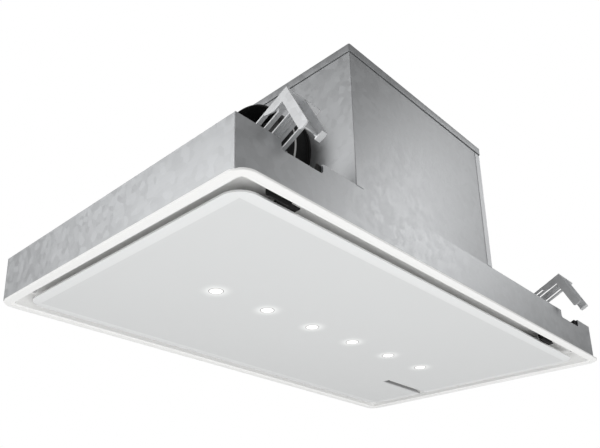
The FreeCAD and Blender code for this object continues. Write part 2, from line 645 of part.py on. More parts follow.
def make_filters():
    """Carrier plate on the cove, and two mesh cassettes, each with a sliding latch at its front rail."""
    carrier_x = mouth_x + S.sheet
    carrier_y = mouth_y + S.sheet
    plate = block(-carrier_x, carrier_x, -carrier_y, carrier_y, S.cove_top, carrier_top)
    openings = []
    for label, side in (("left", -1), ("right", 1)):
        middle = filter_step * side / 2
        openings.append(block(middle - opening_x, middle + opening_x, -opening_y, opening_y,
                              S.cove_top - 1, carrier_top + 1))
        x0, x1 = middle - filter_x / 2, middle + filter_x / 2
        y0, y1 = -filter_y / 2, filter_y / 2
        rail = S.filter_rail
        frame = cut(block(x0, x1, y0, y1, filter_bottom, filter_top),
                    block(x0 + rail, x1 - rail, y0 + rail, y1 - rail, filter_bottom - 1, filter_top + 1))
        mesh = block(x0 + rail / 2, x1 - rail / 2, y0 + rail / 2, y1 - rail / 2,
                     filter_bottom + S.mesh_inset, filter_top - S.mesh_inset)
        latch_low = carrier_top + S.latch_play
        wide = S.latch_width / 2
        guide = block(middle - wide - S.latch_play, middle + wide + S.latch_play, y0 - 1, y0 + rail + 1,
                      latch_low - S.latch_play, latch_low + S.latch_thick + S.latch_play)
        tab_y = y0 + rail + S.latch_play
        hand = block(middle - wide - S.latch_play, middle + wide + S.latch_play, y0 + rail - 0.1,
                     tab_y + S.latch_tab + S.latch_travel + S.latch_play, filter_bottom - 1,
                     filter_top + 1)
        lugs = []
        for end in (-1, 1):
            start = middle + end * filter_x / 4 - S.filter_lug / 2
            lugs.append(block(start, start + S.filter_lug, y1 - rail, y1 + S.filter_gap + S.latch_reach,
                              carrier_top, carrier_top + S.latch_thick))
        node("grease_filter_" + label, cut(join(frame, mesh, *lugs), guide, hand))
        tongue = block(middle - wide, middle + wide, y0 - S.filter_gap - S.latch_reach,
                       tab_y + S.latch_tab, latch_low, latch_low + S.latch_thick)
        tab = block(middle - wide, middle + wide, tab_y, tab_y + S.latch_tab, (filter_bottom - S.latch_hang),
                    latch_low + S.latch_thick)
        node("filter_latch_" + label, join(tongue, tab))
    node("filter_carrier", cut(plate, *openings))
    heads = [rod("Z", S.screw_head, S.screw_height, end * (carrier_x - S.carrier_screw_inset),
                 side * (carrier_y - S.carrier_screw_inset),
                 S.cove_top - S.screw_height) for end in (-1, 1) for side in (-1, 1)]
    node("carrier_screws", group(*heads))


# ---------------------------------------------------------------- glass panel
half_panel_x = cove_x - S.gap_side
panel_front = S.gap_front - cove_y
panel_back = cove_y - S.gap_back
half_panel_y = (panel_back - panel_front) / 2
panel_middle = (panel_back + panel_front) / 2
glass_top = S.panel_bottom + S.glass
tray_x = half_panel_x - S.tray_inset_x
tray_front = panel_front + S.tray_inset_y
tray_back = panel_back - S.tray_inset_y
tray_top = glass_top + S.tray_depth
slot_floor = glass_top + S.slot_rise
slot_start = half_panel_x - S.slot_length
slot_low = S.slot_y - S.slot_width / 2
slot_high = S.slot_y + S.slot_width / 2
lamp_span = S.lamp_pitch * (S.lamp_count - 1)
lamp_places = [S.lamp_x - lamp_span / 2 + S.lamp_pitch * i for i in range(int(SIZES["lamp_count"]))]


def make_panel():
    """White glass with a shallow bevel, its steel tray, six lamps and the touch slot at the right edge."""
    glass = part_body("glass_panel")
    plan = flat(glass, "XY_Plane", S.panel_bottom)
    rectangle(plan, -half_panel_x, half_panel_x, panel_front, panel_back)
    pad(glass, plan, S.glass)
    round_corners(glass, half_panel_x, half_panel_y, S.panel_corner, panel_middle)
    low = S.panel_bottom.value
    rim = [i for i, edge in enumerate(glass_shape_edges(glass), start=1)
           if all(abs(v.Z - low) < 1e-6 for v in edge.Vertexes)]
    blank = glass.Tip
    bevel = glass.newObject("PartDesign::Chamfer", "Bevel")
    bevel.Base = (blank, ["Edge%d" % i for i in rim])
    bevel.ChamferType = "Two distances"
    bind(bevel, "Size", S.bevel_rise)
    bind(bevel, "Size2", S.bevel_width)
    glass.Tip = bevel
    doc.recompute()
    if "Invalid" in bevel.State:
        bevel.FlipDirection = True
    lamps = flat(glass, "XY_Plane", S.panel_bottom)
    for x in lamp_places:
        circle(lamps, x, S.lamp_y, S.lamp_radius)
    pocket(glass, lamps, S.glass)
    slot = flat(glass, "XY_Plane", S.panel_bottom)
    rectangle(slot, slot_start, half_panel_x + 1, slot_low, slot_high)
    pocket(glass, slot, S.glass)

    floor_top = glass_top + S.sheet
    lamp_holes = [rod("Z", S.lamp_can, 3 * S.sheet, x, S.lamp_y, glass_top - S.sheet) for x in lamp_places]
    trough = block(slot_start - S.slot_wall - S.tray_play, tray_x + 1, slot_low - S.slot_wall - S.tray_play,
                   slot_high + S.slot_wall + S.tray_play, glass_top - 1, tray_top + 1)
    floor = block(-tray_x, tray_x, tray_front, tray_back, glass_top, floor_top)
    node("panel_tray", cut(floor, trough, *lamp_holes))
    walls = cut(block(-tray_x, tray_x, tray_front, tray_back, floor_top, tray_top),
                block(-tray_x + S.sheet, tray_x - S.sheet, tray_front + S.sheet, tray_back - S.sheet,
                      floor_top - 1, tray_top + 1), trough)
    node("tray_rim", walls)

    lenses = [rod("Z", S.lamp_radius, S.glass, x, S.lamp_y, S.panel_bottom) for x in lamp_places]
    node("lamp_lenses", group(*lenses))
    cans = [rod("Z", S.lamp_can, S.lamp_can_height, x, S.lamp_y, glass_top) for x in lamp_places]
    node("lamp_cans", group(*cans))


def glass_shape_edges(body):
    """A body's edges after a fresh recompute."""
    doc.recompute()
    return body.Shape.Edges


def make_touch_slot():
    """Moulded trough in the slot, with a dark receiver window and one key that is pressed upward."""
    floor_top = slot_floor + S.slot_wall
    inner_low = slot_low + S.slot_wall
    inner_high = slot_high - S.slot_wall
    liner = block(slot_start, half_panel_x - S.bevel_width / 2, slot_low, slot_high,
                  S.panel_bottom + S.bevel_rise, glass_top)
    trough = block(slot_start - S.slot_wall, tray_x, slot_low - S.slot_wall, slot_high + S.slot_wall,
                   glass_top, floor_top)
    hollow = block(slot_start + S.slot_wall, half_panel_x + 1, inner_low, inner_high,
                   S.panel_bottom - 1, slot_floor)
    window_x = slot_start + S.slot_wall
    key_x = slot_start + S.key_at
    shaft = block(key_x - S.key_play, key_x + S.key_length + S.key_play, inner_low + 1,
                  inner_high - 1, slot_floor - 1, floor_top + 1)
    node("touch_trough", cut(join(liner, trough), hollow, shaft))
    node("receiver_window", block(window_x, window_x + S.window_length, inner_low, inner_high,
                                  slot_floor - S.window_depth, slot_floor))
    stem = block(key_x, key_x + S.key_length, inner_low + 1 + S.key_play, inner_high - 1 - S.key_play,
                 slot_floor - S.key_height, floor_top + S.running_gap)
    flange = block(key_x - S.key_flange, key_x + S.key_length + S.key_flange, inner_low + S.key_play,
                   inner_high - S.key_play, floor_top + S.running_gap, floor_top + S.key_flange)
    node("power_key", join(stem, flange))


# ---------------------------------------------------------------- panel hinges and catches
hinge_y = S.hinge_inset - cove_y
hinge_left = S.hinge_from_left - half_panel_x
hinge_right = half_panel_x - S.hinge_from_right
catch_x = half_panel_x - S.catch_inset


def make_hinges():
    """Two black hinges in the air gap: a fixed block, a strap on the panel and a pin between them."""
    pins = []
    for label, start in (("left", hinge_left), ("right", hinge_right)):
        stop = start + S.hinge_block
        r = S.knuckle_radius
        y, z = hinge_y, glass_top
        body = join(rod("X", r, S.hinge_block, start, y, z),
                    block(start, stop, y + 1, y + r, z, S.cove_top),
                    block(start, stop, y - r, y, z - r / 2, z + r / 2))
        node("hinge_block_" + label, cut(body, rod("X", S.hinge_pin, S.hinge_block + 2, start - 1, y, z)))
        arm_start = stop + S.hinge_side_gap
        arm_stop = arm_start + S.knuckle
        strap = join(rod("X", r, S.knuckle, arm_start, y, z),
                     block(arm_start, arm_start + S.strap_length - S.hinge_block, y + r / 2,
                           tray_front, z, z + S.strap_thick),
                     block(arm_start, arm_stop, y, y + r, z, z + S.strap_thick))
        node("hinge_strap_" + label, cut(strap, rod("X", S.hinge_pin + S.running_gap, S.knuckle + 2,
                                                    arm_start - 1, y, z)))
        pins.append(rod("X", S.hinge_pin, S.hinge_block + S.knuckle + S.hinge_side_gap, start, y, z))
    node("hinge_pins", group(*pins))


def make_catches():
    """Two magnets under the carrier's back margin and the steel strikers on the tray that meet them."""
    back = tray_back - 1
    magnets, strikers = [], []
    for side in (-1, 1):
        x0 = catch_x * side - S.catch_length / 2
        x1 = x0 + S.catch_length
        y0 = back - S.catch_width
        strikers.append(block(x0, x1, y0, back, tray_top - 4, tray_top + S.striker))
        magnets.append(block(x0, x1, y0, back, tray_top + S.striker + S.catch_gap, S.cove_top))
    node("catch_magnets", group(*magnets))
    node("catch_strikers", group(*strikers))


# ---------------------------------------------------------------- ceiling clamps
pivot_y = half_body_y - S.pivot_inset
pivot_z = plate_top + S.pivot_lift


def claw_shape():
    """One claw before it is tilted: leg along -Y from the pivot, arm down from the leg's far end."""
    half = S.claw_width.value / 2
    thick = S.claw_thick.value
    tube = S.claw_tube.value
    leg = S.claw_leg.value
    plate = Part.makeBox(2 * half, leg, thick, Vector(-half, -leg, tube - thick))
    barrel = Part.makeCylinder(tube, 2 * half, Vector(-half, 0, 0), Vector(1, 0, 0))
    arm_width = S.arm_width.value
    arm = S.arm_length.value
    inset = S.web_inset.value
    low = tube - arm
    far_x = -half + S.arm_pitch.value
    cheeks = [Part.makeBox(thick, arm_width, arm, Vector(x, -leg, low)) for x in (-half, far_x)]
    web = Part.makeBox(S.arm_pitch.value, thick, arm - inset, Vector(-half, inset - leg, low + inset))
    tip = Part.makeBox(S.arm_tip.value, arm_width, thick, Vector(far_x + thick - S.arm_tip.value, -leg, low))
    cheek = Part.makeBox(thick, leg * 0.55, 2 * tube, Vector(-half, -leg, -tube))
    shape = plate.fuse([barrel, *cheeks, web, tip, cheek])
    slot = S.claw_slot.value
    slots = []
    for x, start, stop in ((-half + 6, 0.18, 0.62), (-half + 6 + 1.9 * slot, 0.14, 0.78),
                           (half - 6 - slot, 0.14, 0.70)):
        body = Part.makeBox(slot, leg * (stop - start), 3 * thick, Vector(x, -leg * stop, tube - 2 * thick))
        head = Part.makeCylinder(slot / 2, 3 * thick, Vector(x + slot / 2, -leg * stop, tube - 2 * thick))
        slots.extend([body, head])
    bore = Part.makeCylinder(S.clamp_pin.value + S.running_gap.value, 2 * half + 2,
                             Vector(-half - 1, 0, 0), Vector(1, 0, 0))
    return shape.cut(slots + [bore]).removeSplitter()


def make_clamps():
    """Four swing clamps: a base with two lugs on the top plate, a claw and a pin in each."""
    claw = claw_shape()
    pins, heads = [], []
    for depth, end in (("front", "left"), ("front", "right"), ("back", "left"), ("back", "right")):
        label = "%s_%s" % (depth, end)
        side = -1 if depth == "front" else 1
        x = CLAMP_ENDS[end]
        y = pivot_y * side
        thing = doc.addObject("Part::Feature", "Claw")
        thing.Shape = claw
        tilt = Rotation(Vector(1, 0, 0), -S.claw_tilt.value)
        turn = Rotation() if side < 0 else Rotation(Vector(0, 0, 1), 180)
        thing.Placement = Placement(Vector(x.value, y.value, pivot_z.value), turn.multiply(tilt))
        node("clamp_claw_" + label, thing)
        half = S.claw_width / 2 + S.lug_gap
        outer = half + S.lug_thick
        low = plate_top
        reach = S.lug_reach
        lugs = [block(x - outer, x - half, y - reach, y + reach, low, pivot_z + reach),
                block(x + half, x + outer, y - reach, y + reach, low, pivot_z + reach)]
        foot = block(x - outer, x + outer, y - 2 * reach, y + 2 * reach, low, low + S.lug_thick)
        hole = rod("X", S.clamp_pin, 2 * outer + 2, x - outer - 1, y, pivot_z)
        node("clamp_base_" + label, cut(join(foot, *lugs), hole))
        pins.append(rod("X", S.clamp_pin, 2 * outer, x - outer, y, pivot_z))
        heads += [rod("Z", S.screw_head, S.screw_height, x + step, y, low + S.lug_thick)
                  for step in (-2 * reach, 2 * reach)]
    node("clamp_pins", group(*pins))
    node("clamp_screws", group(*heads))


# ---------------------------------------------------------------- electrics
def make_electrics():
    """Control case on the top plate beside the motor box, its lid and the cable gland."""
    x0, y0, z0 = box_right + S.case_gap, S.case_y, plate_top
    x1, y1, z1 = x0 + S.case_length, y0 + S.case_width, z0 + S.case_height
    w = S.case_wall
    gland_y = (y0 + y1) / 2
    gland_z = z0 + S.case_height / 2
    hollow = block(x0 + w, x1 - w, y0 + w, y1 - w, z0 + w, z1 + 1)
    node("control_case", cut(block(x0, x1, y0, y1, z0, z1), hollow,
                             rod("X", S.gland_radius - 2, 3 * w, x1 - 2 * w, gland_y, gland_z)))
    node("control_lid", block(x0, x1, y0, y1, z1, z1 + w))
    inset = S.case_screw_inset
    heads = [rod("Z", S.screw_head, S.screw_height, x, y, z1 + w) for x in (x0 + inset, x1 - inset)
             for y in (y0 + inset, y1 - inset)]
    node("case_screws", group(*heads))
    tube = join(rod("X", S.gland_radius, S.gland_length - w, x1, gland_y, gland_z),
                rod("X", S.gland_radius - 2, w, x1 - w, gland_y, gland_z))
    node("cable_gland", cut(tube, rod("X", S.gland_bore, S.gland_length + 2, x1 - w - 1, gland_y, gland_z)))


make_trim_frame()
make_body_shell()
make_body_top_plate()
make_motor_box()
make_motor_box_lid()
make_blower()
make_outlet()
make_filters()
make_panel()
make_touch_slot()
make_hinges()
make_catches()
make_clamps()
make_electrics()
doc.recompute()

# ---------------------------------------------------------------- checks and files
failed = [o.Name for o in doc.Objects if "Invalid" in o.State or "Error" in o.State]
if failed:
    raise RuntimeError("failed objects: %s" % ", ".join(failed))
for label, thing in NODES.items():
    if thing.Shape.isNull() or not thing.Shape.isValid() or not thing.Shape.Solids:
        raise RuntimeError("bad shape: %s" % label)
os.makedirs("parts", exist_ok=True)
for label, thing in NODES.items():
    thing.Shape.exportStep("parts/%s.step" % label)
    box = thing.Shape.BoundBox
    print("%-22s solids %2d volume %10.1f  x %7.1f %7.1f  y %7.1f %7.1f  z %6.1f %6.1f" % (
        label, len(thing.Shape.Solids), thing.Shape.Volume, box.XMin, box.XMax, box.YMin, box.YMax,
        box.ZMin, box.ZMax))
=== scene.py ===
"""Looks of a flush ceiling range hood: rim, glass panel, steel body, motor box, spigot and clamps.

Every class below is one sub-assembly. Sizes are millimetres in the frame of the solids: +X along the
long side, +Y from the hinge side to the catch side, +Z up, with z = 0 at the ceiling plane.
"""
import json
import logging
import math
from dataclasses import dataclass, field
from enum import Enum
from typing import Callable, Iterable, Optional, Sequence

import bmesh
import bpy
import numpy as np
from mathutils import Euler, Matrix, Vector
from mathutils.geometry import tessellate_polygon


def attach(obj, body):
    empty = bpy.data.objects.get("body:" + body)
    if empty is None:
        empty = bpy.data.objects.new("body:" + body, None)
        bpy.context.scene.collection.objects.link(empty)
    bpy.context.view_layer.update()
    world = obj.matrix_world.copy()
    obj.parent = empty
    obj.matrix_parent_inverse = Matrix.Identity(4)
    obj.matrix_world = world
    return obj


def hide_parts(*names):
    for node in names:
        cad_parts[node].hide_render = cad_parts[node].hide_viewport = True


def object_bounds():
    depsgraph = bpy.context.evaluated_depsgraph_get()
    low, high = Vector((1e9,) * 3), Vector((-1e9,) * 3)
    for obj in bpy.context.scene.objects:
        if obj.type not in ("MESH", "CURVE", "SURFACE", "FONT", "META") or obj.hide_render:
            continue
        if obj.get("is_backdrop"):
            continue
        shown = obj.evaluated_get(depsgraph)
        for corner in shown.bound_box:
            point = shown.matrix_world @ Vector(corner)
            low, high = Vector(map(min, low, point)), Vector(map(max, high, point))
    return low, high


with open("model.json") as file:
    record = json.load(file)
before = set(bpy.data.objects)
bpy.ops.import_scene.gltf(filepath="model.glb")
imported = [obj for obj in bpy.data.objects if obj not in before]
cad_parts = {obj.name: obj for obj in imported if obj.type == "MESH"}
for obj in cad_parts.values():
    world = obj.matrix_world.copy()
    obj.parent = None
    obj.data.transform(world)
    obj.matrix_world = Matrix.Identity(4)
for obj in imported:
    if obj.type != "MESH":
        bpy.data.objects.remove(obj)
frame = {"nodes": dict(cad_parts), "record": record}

LOG = logging.getLogger("hood")
MM = 0.001
Array = np.ndarray
Colour = tuple[float, float, float]


# ---------------------------------------------------------------- surfaces worked out on grids
@dataclass
class Surface:
    """Points and faces of one piece while it is being put together, in millimetres."""

    points: Array = field(default_factory=lambda: np.zeros((0, 3)))
    faces: list[tuple[int, ...]] = field(default_factory=list)

    def __add__(self, other: "Surface") -> "Surface":
        """Both surfaces as one, without welding them."""
        shift = len(self.points)
        moved = [tuple(i + shift for i in face) for face in other.faces]
        return Surface(np.vstack([self.points, other.points]), self.faces + moved)

    def placed(self, matrix: Array, offset: Sequence[float] = (0.0, 0.0, 0.0)) -> "Surface":
        """The surface turned by a 3 by 3 matrix and then moved.

        Args:
            matrix: rows of the turn; each point p becomes matrix times p plus offset.
            offset: the move in millimetres.

        Returns:
            A new surface with the same faces.
        """
        turned = self.points @ np.asarray(matrix, float).T
        return Surface(turned + np.asarray(offset, float), list(self.faces))

    def moved(self, x: float = 0.0, y: float = 0.0, z: float = 0.0) -> "Surface":
        """The surface moved along the axes."""
        return Surface(self.points + np.array([x, y, z]), list(self.faces))


IDENTITY: Array = np.eye(3)
ALONG_X: Array = np.array([[0.0, 0.0, 1.0], [0.0, 1.0, 0.0], [-1.0, 0.0, 0.0]])
HALF_TURN: Array = np.diag([-1.0, -1.0, 1.0])
MIRROR_Y: Array = np.diag([1.0, -1.0, 1.0])
SIDES = (-1, 1)


def about_x(degrees: float) -> Array:
    """The matrix of a turn about +X by the right-hand rule."""
    c, s = math.cos(math.radians(degrees)), math.sin(math.radians(degrees))
    return np.array([[1.0, 0.0, 0.0], [0.0, c, -s], [0.0, s, c]])


def arc(start: float, end: float, count: int) -> Array:
    """Evenly spaced angles in radians, from one number of degrees to another."""
    return np.radians(np.linspace(start, end, count))


def circle(x: Array | float, y: Array | float, radius: float, t: Array) -> Array:
    """The points (x, y) + radius (cos t, sin t)."""
    return np.column_stack([x + radius * np.cos(t), y + radius * np.sin(t)])


def raised(plan: Array, height: Array | float) -> Array:
    """Plan points with a height, one for all or one each, as their third coordinate."""
    return np.column_stack([plan, np.broadcast_to(height, len(plan))])


def span(side: int, near: float, far: float) -> tuple[float, float]:
    """Two distances from the middle, on the side -1 or 1, as a lower and an upper limit."""
    low, high = sorted((side * near, side * far))
    return low, high


def total(parts: Iterable[Surface]) -> Surface:
    """All surfaces of a row as one."""
    result = Surface()
    for part in parts:
        result = result + part
    return result


def skin(grid: Array, wrap_rows: bool = False) -> Surface:
    """Quads between the rows of a grid whose columns close on themselves.

    Args:
        grid: array (rows, columns, 3); row i and row i + 1 are joined column by column.
        wrap_rows: join the last row to the first, for a ring with a closed section. Otherwise the first
            and the last row are closed with one face each.

    Returns:
        The surface. Face (i, j) has the corners (i, j), (i, j + 1), (i + 1, j + 1), (i + 1, j).
    """
    rows, columns = grid.shape[:2]
    last = rows if wrap_rows else rows - 1
    i, j = np.meshgrid(np.arange(last), np.arange(columns), indexing="ij")
    following, beside = (i + 1) % rows, (j + 1) % columns
    quads = np.stack([i * columns + j, i * columns + beside, following * columns + beside,
                      following * columns + j], axis=-1).reshape(-1, 4)
    faces = [tuple(q) for q in quads.tolist()]
    if not wrap_rows:
        faces.append(tuple(range(columns))[::-1])
        faces.append(tuple(range((rows - 1) * columns, rows * columns)))
    return Surface(grid.reshape(-1, 3).copy(), faces)


def patch(grid: Array, thickness: float) -> Surface:
    """A sheet of even thickness over an open grid.

    The second face is the first moved by the thickness along the normals, which are the cross product
    of the grid's two central differences. The four edges are closed by strips.

    Args:
        grid: array (rows, columns, 3).
        thickness: distance from the given face to the other.

    Returns:
        The closed surface.
    """
    along, across = np.gradient(grid, axis=1), np.gradient(grid, axis=0)
    normal = np.cross(along, across)
    normal /= np.linalg.norm(normal, axis=-1, keepdims=True) + 1e-12
    rows, columns = grid.shape[:2]
    both = np.stack([grid, grid - normal * thickness]).reshape(-1, 3)
    index = np.arange(rows * columns).reshape(rows, columns)
    under = index + rows * columns
    upper = np.stack([index[:-1, :-1], index[:-1, 1:], index[1:, 1:], index[1:, :-1]], -1)
    lower = np.stack([under[:-1, :-1], under[1:, :-1], under[1:, 1:], under[:-1, 1:]], -1)
    edge = np.concatenate([index[0, :-1], index[:-1, -1], index[-1, :0:-1], index[:0:-1, 0]])
    after = np.roll(edge, -1)
    rim = np.stack([after, edge, edge + rows * columns, after + rows * columns], -1)
    quads = np.vstack([upper.reshape(-1, 4), lower.reshape(-1, 4), rim])
    return Surface(both, [tuple(q) for q in quads.tolist()])


def rounded(half_x: float, half_y: float, radius: float, steps: int = 8) -> Array:
    """A rectangle with round corners, counter-clockwise.

    Each corner is centre + radius (cos t, sin t) while t runs over its quarter turn, so every such
    outline with the same steps has the same number of points and can be joined to any other.

    Args:
        half_x: half the width along X.
        half_y: half the width along Y.
        radius: corner radius, held between a hair and the smaller half width.
        steps: points on one corner less one.

    Returns:
        Array (4 (steps + 1), 2).
    """
    r = min(max(radius, 0.05), half_x - 1e-4, half_y - 1e-4)
    t = arc(0, 90, steps + 1)[None, :] + np.radians([[0], [90], [180], [270]])
    centre = np.array([[1, 1], [-1, 1], [-1, -1], [1, -1]]) * np.array([half_x - r, half_y - r])
    return (centre[:, None, :] + r * np.stack([np.cos(t), np.sin(t)], -1)).reshape(-1, 2)


def rings(half_x: float, half_y: float, corner: float, section: Sequence[tuple[float, float]],
          closed: bool = False, steps: int = 8, corner_least: float = 0.05) -> Surface:
    """A profile carried round a rounded rectangle.

    Row i is the outline moved inward by the profile's first number, with its corner radius less by as
    much, at the height of its second number.

    Args:
        half_x: half width of the outline along X.
        half_y: half width of the outline along Y.
        corner: corner radius of the outline.
        section: rows of (inset, height).
        closed: the profile is a loop, so the result is a frame; otherwise its ends are capped.
        steps: points on a corner less one.
        corner_least: smallest corner radius.

    Returns:
        The surface.
    """
    rows = [raised(rounded(half_x - inset, half_y - inset, max(corner - inset, corner_least), steps),
                   height) for inset, height in section]
    return skin(np.stack(rows), wrap_rows=closed)


def slab(x: tuple[float, float], y: tuple[float, float], z: tuple[float, float], corner: float,
         edge: float, steps: int) -> Surface:
    """A flat block with round upright corners and softened upper and lower edges.

    Args:
        x: lower and upper limit along X.
        y: limits along Y.
        z: limits along Z.
        corner: radius of the upright corners.
        edge: radius of the upper and lower edges.
        steps: points on a corner less one.

    Returns:
        The closed surface: rings whose inset follows edge (1 - cos t) near the two ends.
    """
    half_x, half_y = (x[1] - x[0]) / 2, (y[1] - y[0]) / 2
    e = min(edge, (z[1] - z[0]) / 2.01, half_x * 0.9, half_y * 0.9)
    t = np.radians([90, 45, 0])
    low = [(e * (1 - math.cos(a)), z[0] + e * (1 - math.sin(a))) for a in t]
    high = [(e * (1 - math.cos(a)), z[1] - e * (1 - math.sin(a))) for a in t[::-1]]
    body = rings(half_x, half_y, corner, low + high, steps=steps)
    return body.moved((x[0] + x[1]) / 2, (y[0] + y[1]) / 2)


def lathe(section: Sequence[tuple[float, float]], closed: bool = False, segments: int = 64) -> Surface:
    """A profile of (radius, height) turned about Z: each row is radius (cos t, sin t) at its height.

    Args:
        section: rows of the profile.
        closed: the profile is a loop, as for a tube; otherwise its two ends are capped.
        segments: points on a turn.

    Returns:
        The surface.
    """
    t = np.linspace(0, 2 * math.pi, segments, endpoint=False)
    rows = [raised(circle(0.0, 0.0, r, t), h) for r, h in section]
    return skin(np.stack(rows), wrap_rows=closed)


def extrude(outline: Array, z: tuple[float, float]) -> Surface:
    """A closed plan outline, array (n, 2), carried straight from one height to another."""
    return skin(np.stack([raised(outline, height) for height in z]))


def inset_outline(outline: Array, distance: Array | float) -> Array:
    """A closed outline moved inward along the mean normal of the two sides at each point.

    Args:
        outline: array (n, 2), counter-clockwise.
        distance: the move, one number or one per point.

    Returns:
        The moved outline.
    """
    before, after = outline - np.roll(outline, 1, 0), np.roll(outline, -1, 0) - outline
    before /= np.linalg.norm(before, axis=1, keepdims=True) + 1e-12
    after /= np.linalg.norm(after, axis=1, keepdims=True) + 1e-12
    tangent = before + after
    tangent /= np.linalg.norm(tangent, axis=1, keepdims=True) + 1e-12
    normal = np.column_stack([-tangent[:, 1], tangent[:, 0]])
    lean = np.clip(np.sum(normal * np.column_stack([-before[:, 1], before[:, 0]]), axis=1), 0.5, 1.0)
    return outline + normal * (np.broadcast_to(distance, len(outline)) / lean)[:, None]


def pierced(outline: Array, holes: Sequence[Array], z: tuple[float, float]) -> Surface:
    """A flat plate of any outline with closed holes of any outline.

    The upper face is the polygon with its holes cut into triangles, the lower face is its copy, and a
    strip of quads runs from one to the other along every outline.

    Args:
        outline: array (n, 2).
        holes: arrays (m, 2), none of which touches another or the outline.
        z: lower and upper limit.

    Returns:
        The closed surface.
    """
    loops = [outline, *holes]
    flat = np.concatenate(loops)
    count = len(flat)
    levels = [raised(flat, height) for height in z]
    filled = np.array(tessellate_polygon([raised(loop, 0.0).tolist() for loop in loops]))
    starts = np.cumsum([0, *(len(loop) for loop in loops)])
    here = np.arange(count)
    after = np.concatenate([np.roll(here[a:b], -1) for a, b in zip(starts[:-1], starts[1:])])
    sides = np.stack([here, after, after + count, here + count], -1)
    faces = [*filled.tolist(), *(filled[:, ::-1] + count).tolist(), *sides.tolist()]
    return Surface(np.concatenate(levels), [tuple(face) for face in faces])


def oblong(x: tuple[float, float], y: tuple[float, float], steps: int = 8) -> Array:
    """The outline of a slot along Y whose two ends are half circles as wide as the slot.

    Args:
        x: lower and upper limit along X.
        y: lower and upper limit along Y, round ends included.
        steps: points on one end less one.

    Returns:
        Array (2 (steps + 1), 2), counter-clockwise.
    """
    r, middle, t = (x[1] - x[0]) / 2, (x[0] + x[1]) / 2, arc(0, 180, steps + 1)
    return np.concatenate([circle(middle, y[1] - r, r, t), circle(middle, y[0] + r, -r, t)])


def holed_plate(half_x: float, half_y: float, radius: float, thickness: float,
                centre: tuple[float, float]) -> Surface:
    """A rectangular plate with one round hole, about the origin in its own plane.

    Ray t leaves the hole's centre. Row v of the grid is (1 - v) times the circle's point plus v times
    the point where the ray meets the rectangle.

    Args:
        half_x: half width.
        half_y: half height.
        radius: radius of the hole.
        thickness: thickness, downward from z = 0.
        centre: centre of the hole.

    Returns:
        The closed surface.
    """
    rays = 96
    corners = np.array([[half_x, half_y], [-half_x, half_y], [-half_x, -half_y], [half_x, -half_y]])
    marks = np.arctan2(corners[:, 1] - centre[1], corners[:, 0] - centre[0])
    t = np.unique(np.concatenate([np.linspace(-math.pi, math.pi, rays, endpoint=False), marks]))
    ray = np.column_stack([np.cos(t), np.sin(t)])
    with np.errstate(divide="ignore", invalid="ignore"):
        reach_x = np.where(ray[:, 0] > 0, half_x - centre[0], -half_x - centre[0]) / ray[:, 0]
        reach_y = np.where(ray[:, 1] > 0, half_y - centre[1], -half_y - centre[1]) / ray[:, 1]
    reach = np.minimum(np.abs(reach_x), np.abs(reach_y))
    inner, outer = ray * radius + np.asarray(centre), ray * reach[:, None] + np.asarray(centre)
    levels = [(inner, 0.0), (outer, 0.0), (outer, -thickness), (inner, -thickness)]
    return skin(np.stack([raised(plan, height) for plan, height in levels]), wrap_rows=True)


# ---------------------------------------------------------------- sizes of more than one sub-assembly
SHEET: float = 1.0
BODY_TOP: float = 66.0
WALL_Y: float = 241.8
CLAMP_X: tuple[float, float] = (-345.0, 363.0)
BOX_LEFT: float = -248.0
BOX_RIGHT: float = 85.0
DUCT_Y: float = -96.0
DUCT_Z: float = 148.0
FILTER_X: float = 208.0


@dataclass
class Panel:
    """The panel's outline and its lamps, for the glass and for the looks of both."""

    half_x: float = 421.0
    half_y: float = 223.0
    middle_y: float = 3.5
    lamp_pitch: float = 102.0
    lamp_count: int = 6
    lamp_radius: float = 9.5


# ---------------------------------------------------------------- shader maths
def maths(operation: str, swapped: bool = False) -> Callable[..., "Value"]:
    """A method of Value that adds one Math node.

    Args:
        operation: the node's operation.
        swapped: put the value itself last, as where a plain number stands on the left.

    Returns:
        The method. It takes the other operands and gives the new node's output.
    """
    def method(self: "Value", *others: "Value | float") -> "Value":
        """The new node's output."""
        operands = (*others, self) if swapped else (self, *others)
        return self.graph.node("ShaderNodeMath", {"operation": operation}, dict(enumerate(operands)))
    return method


class Value:
    """One socket of a node tree, with arithmetic that adds Math nodes."""

    __add__, __radd__ = maths("ADD"), maths("ADD", swapped=True)
    __sub__, __rsub__ = maths("SUBTRACT"), maths("SUBTRACT", swapped=True)
    __mul__, __rmul__ = maths("MULTIPLY"), maths("MULTIPLY", swapped=True)
    __abs__, sine = maths("ABSOLUTE"), maths("SINE")
    most, power, wrap = maths("MAXIMUM"), maths("POWER"), maths("WRAP")

    def __init__(self, graph: "Graph", socket: bpy.types.NodeSocket) -> None:
        """Wrap a socket of a graph."""
        self.graph = graph
        self.socket = socket

    def ramp(self, low: float, high: float) -> "Value":
        """0 below low, 1 above high, smooth between them."""
        return self.graph.node("ShaderNodeMapRange", {"interpolation_type": "SMOOTHSTEP"},
                               {"Value": self, "From Min": low, "From Max": high})


